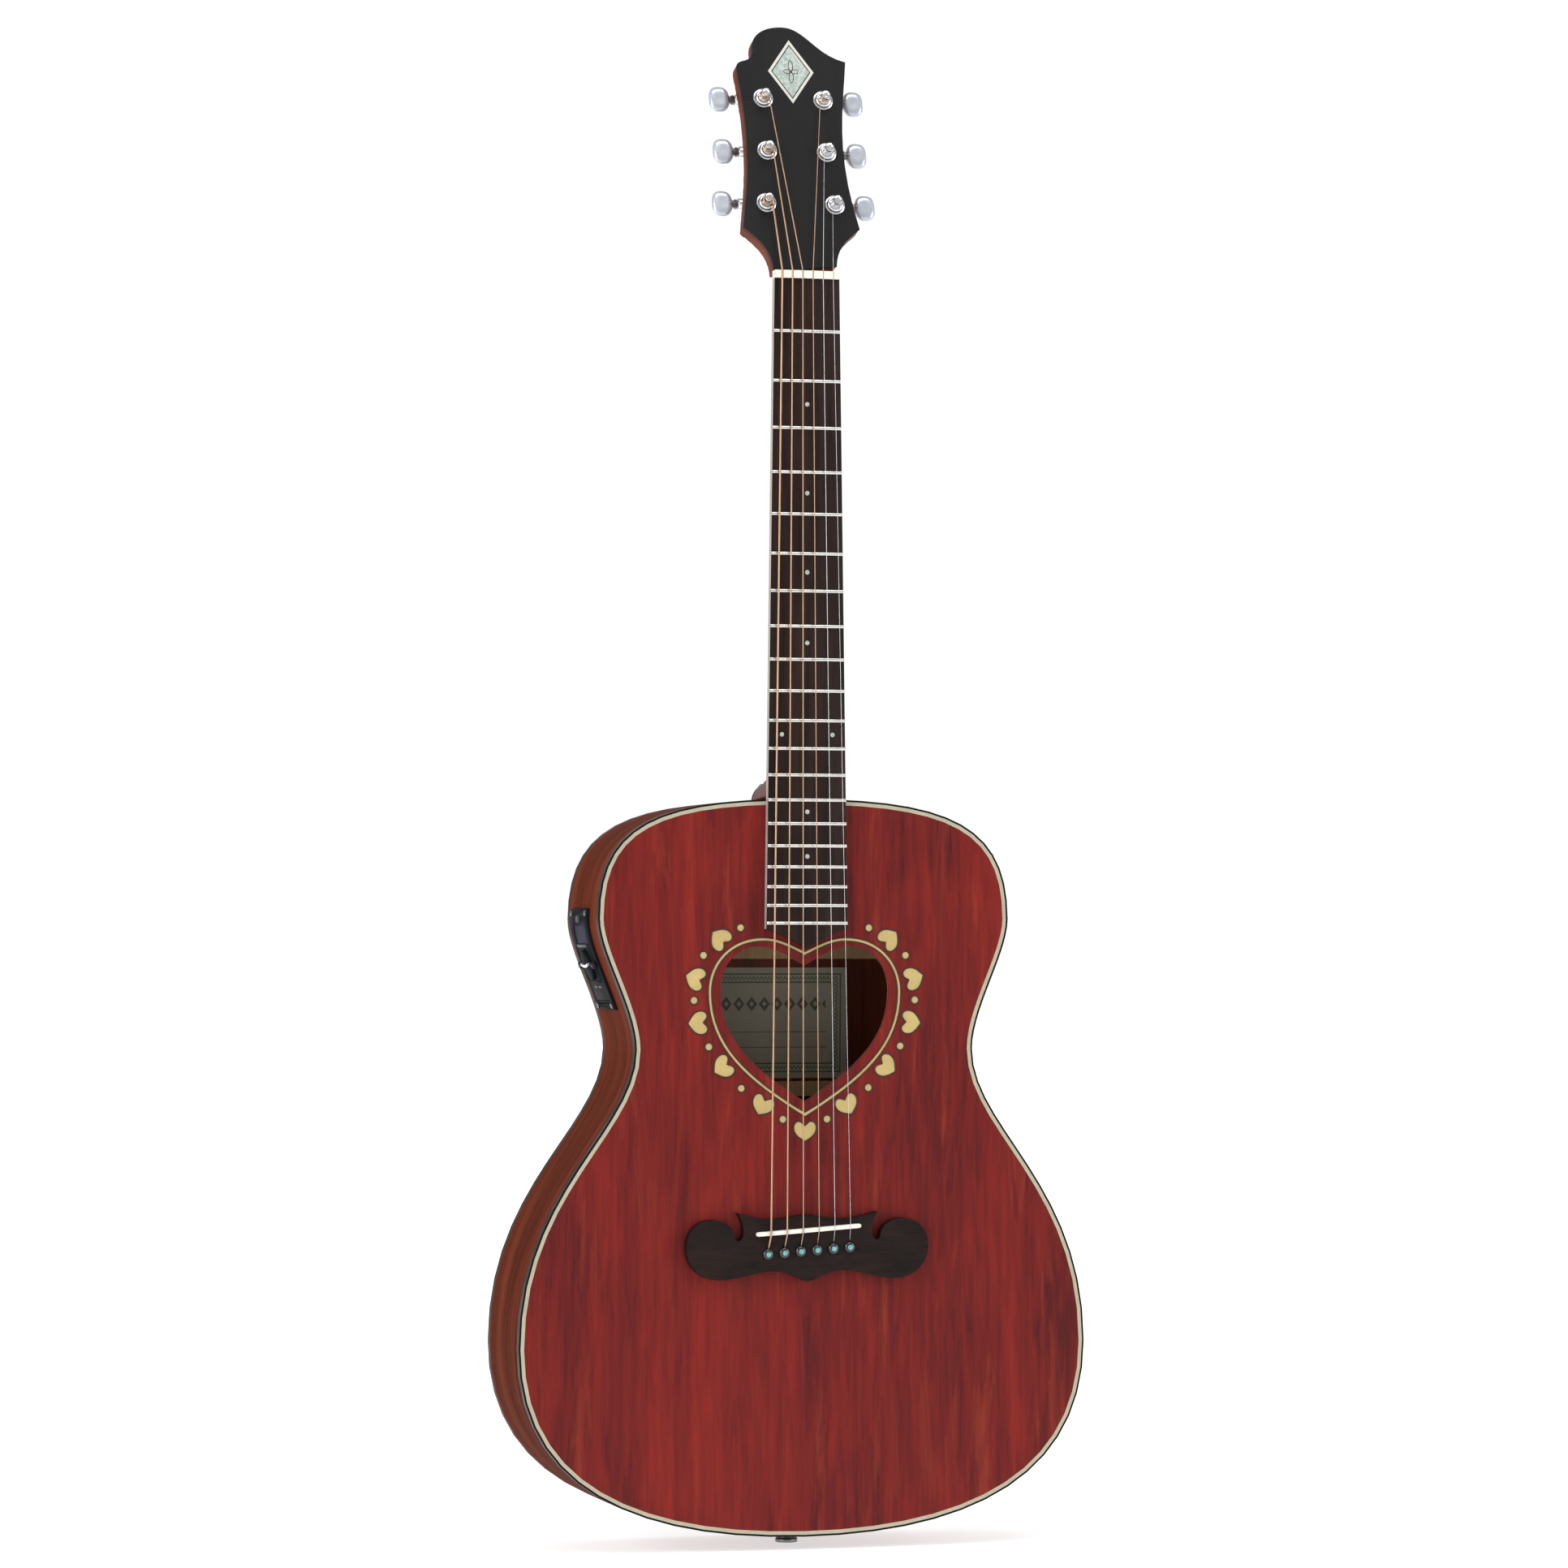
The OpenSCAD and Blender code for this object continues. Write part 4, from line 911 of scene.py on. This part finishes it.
def make_sliders():
    """Two tone sliders, level with the dial's middle on the slope of the side."""
    dial_place, out = Vector(JOINTS["volume_turn"]["pos_m"]), JOINTS["volume_turn"]["axis"]
    for name in ("bass", "treble"):
        low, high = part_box(name + "_slider")
        middle = Vector((dial_place.x, (low.y + high.y) / 2, dial_place.z))
        at = axes_at(middle, out, JOINTS[name + "_slide"]["axis"])
        cap = bevelled(block((4.4 * MM, 7 * MM, 2.5 * MM), (0, 0, 3.6 * MM)), 0.7 * MM, 3)
        line = bevelled(block((0.7 * MM, 6.2 * MM, 0.3 * MM), (0, 0, 4.9 * MM)), 0.1 * MM, 1)
        stem = bevelled(block((2.6 * MM, 1.7 * MM, 6 * MM), (0, 0, 0.2 * MM)), 0.1 * MM, 1)
        knob = settle(joined([cap, stem]), at)
        finish_piece(smoothed(knob, 35), f"{name}_slider_cap", f"{name}_slider",
                     "pad", (f"{name}_slider",))
        finish_piece(settle(line, at), f"{name}_slider_line", f"{name}_slider",
                     "grey")


def make_key():
    """The tuner's round key."""
    low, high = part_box("tuner_key")
    inward = Vector(JOINTS["key_press"]["axis"])
    at = axes_at((low + high) / 2, -inward, (0, 0, 1))
    key = turned([(0, -3), (2.6, -3), (2.6, 2.3), (2.3, 2.9), (1.2, 2.8), (0, 2.7)], 32)
    finish_piece(smoothed(settle(key, at), 40), "round_tuner_key", "tuner_key",
                 "grey", ("tuner_key",))


def make_door():
    """The battery door, with two small raised marks near its free edge."""
    door = bevelled(flattened(merged_copy("battery_door")), 0.3 * MM, 2, 50)
    marks = []
    low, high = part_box("battery_door")
    for share in (0.3, 0.62):
        mark = bevelled(block((1.6 * MM, 7 * MM, 0.8 * MM), (0, 0, 0.1 * MM)), 0.25 * MM, 2)
        y = low.y + share * (high.y - low.y)
        marks.append(settle(mark, on_panel(door, y, high.z - 3.2 * MM)))
    finish_piece(joined(marks), "door_finger_marks", "battery_door", "grey")
    finish_piece(smoothed(door, 35), "cell_door", "battery_door",
                 "pad", ("battery_door",))


def make_end_pin():
    """The jack's end pin: a waist between two flanges, on a hollow barrel."""
    low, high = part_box("endpin_jack")
    reach = 8.5 * MM
    jack = turned([(0, 22), (3.2, 22), (3.2, -7.6), (3.7, -8.3), (4.6, -8.5), (7.2, -8.5), (7.6, -8.0),
                   (7.6, -6.2), (7.2, -5.6), (5.8, -5.3), (5.6, -4.6), (5.6, -3.2), (6.2, -2.6),
                   (7.4, -2.4), (7.6, -2.0), (7.6, 0), (6, 0), (6, 24), (0, 24)], 44)
    settle(jack, Matrix.Translation((0, (low.y + high.y) / 2, low.z + reach)))
    finish_piece(smoothed(jack, 40), "turned_endpin", ROOT, "endpin", ("endpin_jack",))


def make_strap_button():
    """A waisted strap button on the end of the heel."""
    low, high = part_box("strap_button")
    centre = (low + high) / 2
    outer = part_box("heel_cap")[1].y
    button = turned([(0, -15), (1.7, -15), (1.7, 0), (6.4, 0), (6.4, 0.7), (5.2, 1.8), (4.3, 3.2),
                     (4.1, 5.2), (4.4, 6.9), (5.6, 8.0), (6.6, 8.7), (6.8, 9.5), (6.5, 10.2),
                     (5.2, 10.55), (3.0, 10.6), (2.6, 9.8), (0, 9.6)], 44)
    settle(button, axes_at((centre.x, outer, centre.z), (0, 1, 0), (1, 0, 0)))
    finish_piece(smoothed(button, 40), "turned_strap_button", ROOT, "chrome",
                 ("strap_button",))


def finish_hidden_nodes():
    """Gives the CAD nodes that are kept as they are their finishes."""
    for node, finish in (
            ("neck_block", "spruce"), ("tail_block", "spruce"), ("x_braces", "spruce"),
            ("tone_bars", "spruce"), ("back_braces", "spruce"), ("bridge_plate", "bridge"),
            ("label", "label"), ("saddle_pickup", "steel"), ("truss_rod", "steel"),
            ("truss_rod_nut", "steel"), ("tuner_screws", "chrome"), ("preamp_housing", "case"),
            ("coin_cells", "steel")):
        materials = frame["nodes"][node].data.materials
        materials.clear()
        materials.append(FINISHES[finish])


# ================= Stage =================
CAMERA_AZIMUTH = -14.5
CAMERA_ELEVATION = -1.673
CAMERA_DISTANCE = 3.697874
CAMERA_AIM = (-14.471 * MM, 0, -339.640 * MM)
CAMERA_LENS = 126.616


def soft_box(name, place, aim, size, power):
    bpy.ops.object.light_add(type="AREA", location=place)
    lamp = bpy.context.object
    lamp.name = name
    lamp.data.shape = "RECTANGLE"
    lamp.data.size, lamp.data.size_y = size
    lamp.data.energy = power
    lamp.rotation_euler = (Vector(aim) - Vector(place)).to_track_quat("-Z", "Y").to_euler()


def make_camera():
    """Adds the camera, and returns the direction from its target back to it."""
    azimuth, elevation = math.radians(CAMERA_AZIMUTH), math.radians(CAMERA_ELEVATION)
    back = Vector((math.sin(azimuth) * math.cos(elevation), -math.cos(azimuth) * math.cos(elevation),
                   math.sin(elevation)))
    aim = Vector(CAMERA_AIM)
    bpy.ops.object.camera_add(location=aim + back * CAMERA_DISTANCE,
                              rotation=(-back).to_track_quat("-Z", "Y").to_euler())
    camera = bpy.context.object
    camera.data.lens = CAMERA_LENS
    camera.data.clip_start, camera.data.clip_end = 0.05, 100
    bpy.context.scene.camera = camera
    bpy.context.scene.view_settings.view_transform = "Standard"
    return back


def make_floor():
    """A pale floor that glows white towards the back."""
    bpy.ops.mesh.primitive_plane_add(size=40, location=(0, 0, CAD_BOX[0].z - 0.5 * MM))
    floor = bpy.context.object
    floor.name = "pale_floor"
    paint = Finish("pale_floor_paint", Roughness=0.9)
    depth = paint.parts()[1]
    white = paint.mix(paint.noise((2, 2, 2)), (0.80, 0.80, 0.80), (0.84, 0.84, 0.84))
    glow = paint.mix(paint.mask(depth, -1.2, 1.2), (0.25, 0.25, 0.25), (0.95, 0.95, 0.95))
    paint.feed(Base_Color=white, Emission_Color=glow)
    paint.shader.inputs["Emission Strength"].default_value = 1.0
    floor.data.materials.append(paint.material)


def make_world(ahead, room_air):
    """Air of one brightness, with a white backdrop in a cone round the direction ahead."""
    world = bpy.data.worlds.new("studio_air")
    bpy.context.scene.world = world
    world.use_nodes = True
    tree = world.node_tree
    place = tree.nodes.new("ShaderNodeTexCoord")
    towards = tree.nodes.new("ShaderNodeVectorMath")
    towards.operation = "DOT_PRODUCT"
    towards.inputs[1].default_value = ahead
    ramp = tree.nodes.new("ShaderNodeMapRange")
    tree.links.new(place.outputs["Generated"], towards.inputs[0])
    tree.links.new(towards.outputs["Value"], ramp.inputs["Value"])
    for key, value in (("From Min", 0.90), ("From Max", 0.925), ("To Min", room_air), ("To Max", 1.05)):
        ramp.inputs[key].default_value = value
    background = tree.nodes["Background"]
    background.inputs["Color"].default_value = (1, 1, 1, 1)
    tree.links.new(ramp.outputs[0], background.inputs["Strength"])


def make_stage(studio):
    back = make_camera()
    make_floor()
    make_world(-back, studio.room_air)
    soft_box("left_soft_box", (-3.0, -1.7, 0.5), (0, 0, -0.45), (1.4, 2.4), studio.key_power)
    soft_box("right_soft_box", (3.0, -2.1, 0.4), (0, 0, -0.45), (1.4, 2.4), studio.key_power * 0.7)
    soft_box("top_soft_box", (0, -1.6, 2.6), (0, 0, -0.4), (2.4, 1.0), studio.key_power * 0.5)


# ================= Settings, operators and panel =================
class GuitarColours(bpy.types.PropertyGroup):
    """Colours that a maker would choose."""
    stain_dark: bpy.props.FloatVectorProperty(
        name="Dark stain", description="Red stain in the darker blotches of the top",
        subtype="COLOR", default=(0.072, 0.006, 0.007), min=0, max=1)
    stain_light: bpy.props.FloatVectorProperty(
        name="Light stain", description="Red stain in the lighter parts of the top",
        subtype="COLOR", default=(0.225, 0.015, 0.010), min=0, max=1)
    mahogany_light: bpy.props.FloatVectorProperty(
        name="Light mahogany", description="Lighter stripes of the sides, back and neck",
        subtype="COLOR", default=(0.185, 0.040, 0.018), min=0, max=1)
    mahogany_dark: bpy.props.FloatVectorProperty(
        name="Dark mahogany", description="Darker stripes of the sides, back and neck",
        subtype="COLOR", default=(0.058, 0.012, 0.007), min=0, max=1)
    gold: bpy.props.FloatVectorProperty(
        name="Inlay gold", description="Heart ring, small hearts and dots",
        subtype="COLOR", default=(0.57, 0.43, 0.16), min=0, max=1)


class GuitarStudio(bpy.types.PropertyGroup):
    """Light of the studio."""
    key_power: bpy.props.FloatProperty(
        name="Soft box power", description="Power of the left soft box", subtype="POWER",
        default=62, min=1, max=500)
    room_air: bpy.props.FloatProperty(
        name="Room air", description="Brightness of the room round the white backdrop",
        default=0.48, min=0, max=2)


class GuitarSettings(bpy.types.PropertyGroup):
    colours: bpy.props.PointerProperty(type=GuitarColours)
    studio: bpy.props.PointerProperty(type=GuitarStudio)


class GUITAR_OT_sound_box(bpy.types.Operator):
    """Finish the top, sides, back, edge trim and inlays"""
    bl_idname = "guitar.sound_box"
    bl_label = "Sound box"

    def execute(self, context):
        FINISHES.update(make_finishes(context.scene.guitar.colours))
        make_sound_box()
        return {"FINISHED"}


class GUITAR_OT_bridge(bpy.types.Operator):
    """Carve the bridge, and add its saddle and domed pins"""
    bl_idname = "guitar.bridge"
    bl_label = "Bridge"

    def execute(self, context):
        make_bridge()
        make_bridge_pins()
        return {"FINISHED"}


class GUITAR_OT_neck(bpy.types.Operator):
    """Carve the neck, and finish the fingerboard, frets, nut and headstock"""
    bl_idname = "guitar.neck"
    bl_label = "Neck and headstock"

    def execute(self, context):
        make_neck()
        make_headstock()
        return {"FINISHED"}


class GUITAR_OT_strings(bpy.types.Operator):
    """String the guitar from the pins to the posts"""
    bl_idname = "guitar.strings"
    bl_label = "Strings"

    def execute(self, context):
        make_strings()
        return {"FINISHED"}


class GUITAR_OT_tuners(bpy.types.Operator):
    """Turn the posts and bushings, and cast the buttons and gear cases"""
    bl_idname = "guitar.tuners"
    bl_label = "Tuners"

    def execute(self, context):
        make_posts()
        make_bushings()
        make_buttons()
        make_housings()
        return {"FINISHED"}


class GUITAR_OT_preamp(bpy.types.Operator):
    """Mould the preamp's panel and its controls"""
    bl_idname = "guitar.preamp"
    bl_label = "Preamp"

    def execute(self, context):
        make_panel()
        make_dial()
        make_sliders()
        make_key()
        make_door()
        return {"FINISHED"}


class GUITAR_OT_hardware(bpy.types.Operator):
    """Turn the end pin and strap button, and finish the hidden parts"""
    bl_idname = "guitar.hardware"
    bl_label = "Hardware"

    def execute(self, context):
        make_end_pin()
        make_strap_button()
        finished_copy("end_graft", "tail_wedge", "black_trim", "black")
        finish_hidden_nodes()
        return {"FINISHED"}


class GUITAR_OT_stage(bpy.types.Operator):
    """Set the camera, the pale floor and the soft light"""
    bl_idname = "guitar.stage"
    bl_label = "Stage"

    def execute(self, context):
        make_stage(context.scene.guitar.studio)
        return {"FINISHED"}


OPERATORS = (GUITAR_OT_sound_box, GUITAR_OT_bridge, GUITAR_OT_neck, GUITAR_OT_strings,
             GUITAR_OT_tuners, GUITAR_OT_preamp, GUITAR_OT_hardware, GUITAR_OT_stage)


class GUITAR_PT_panel(bpy.types.Panel):
    """Lists the guitar's groups of pieces"""
    bl_label = "Folk guitar"
    bl_idname = "GUITAR_PT_panel"
    bl_space_type = "VIEW_3D"
    bl_region_type = "UI"
    bl_category = "Guitar"

    def draw(self, context):
        settings = context.scene.guitar
        for group, names in ((settings.colours, GuitarColours.__annotations__),
                             (settings.studio, GuitarStudio.__annotations__)):
            for name in names:
                self.layout.prop(group, name)
        for operator in OPERATORS:
            self.layout.operator(operator.bl_idname)


CLASSES = (GuitarColours, GuitarStudio, GuitarSettings, *OPERATORS, GUITAR_PT_panel)


def register():
    for cls in CLASSES:
        bpy.utils.register_class(cls)
    bpy.types.Scene.guitar = bpy.props.PointerProperty(type=GuitarSettings)


def unregister():
    del bpy.types.Scene.guitar
    for cls in reversed(CLASSES):
        bpy.utils.unregister_class(cls)


def main():
    register()
    clear_selection()
    for operator in OPERATORS:
        group, name = operator.bl_idname.split(".")
        getattr(getattr(bpy.ops, group), name)()
    clear_selection()


if __name__ == "__main__":
    main()
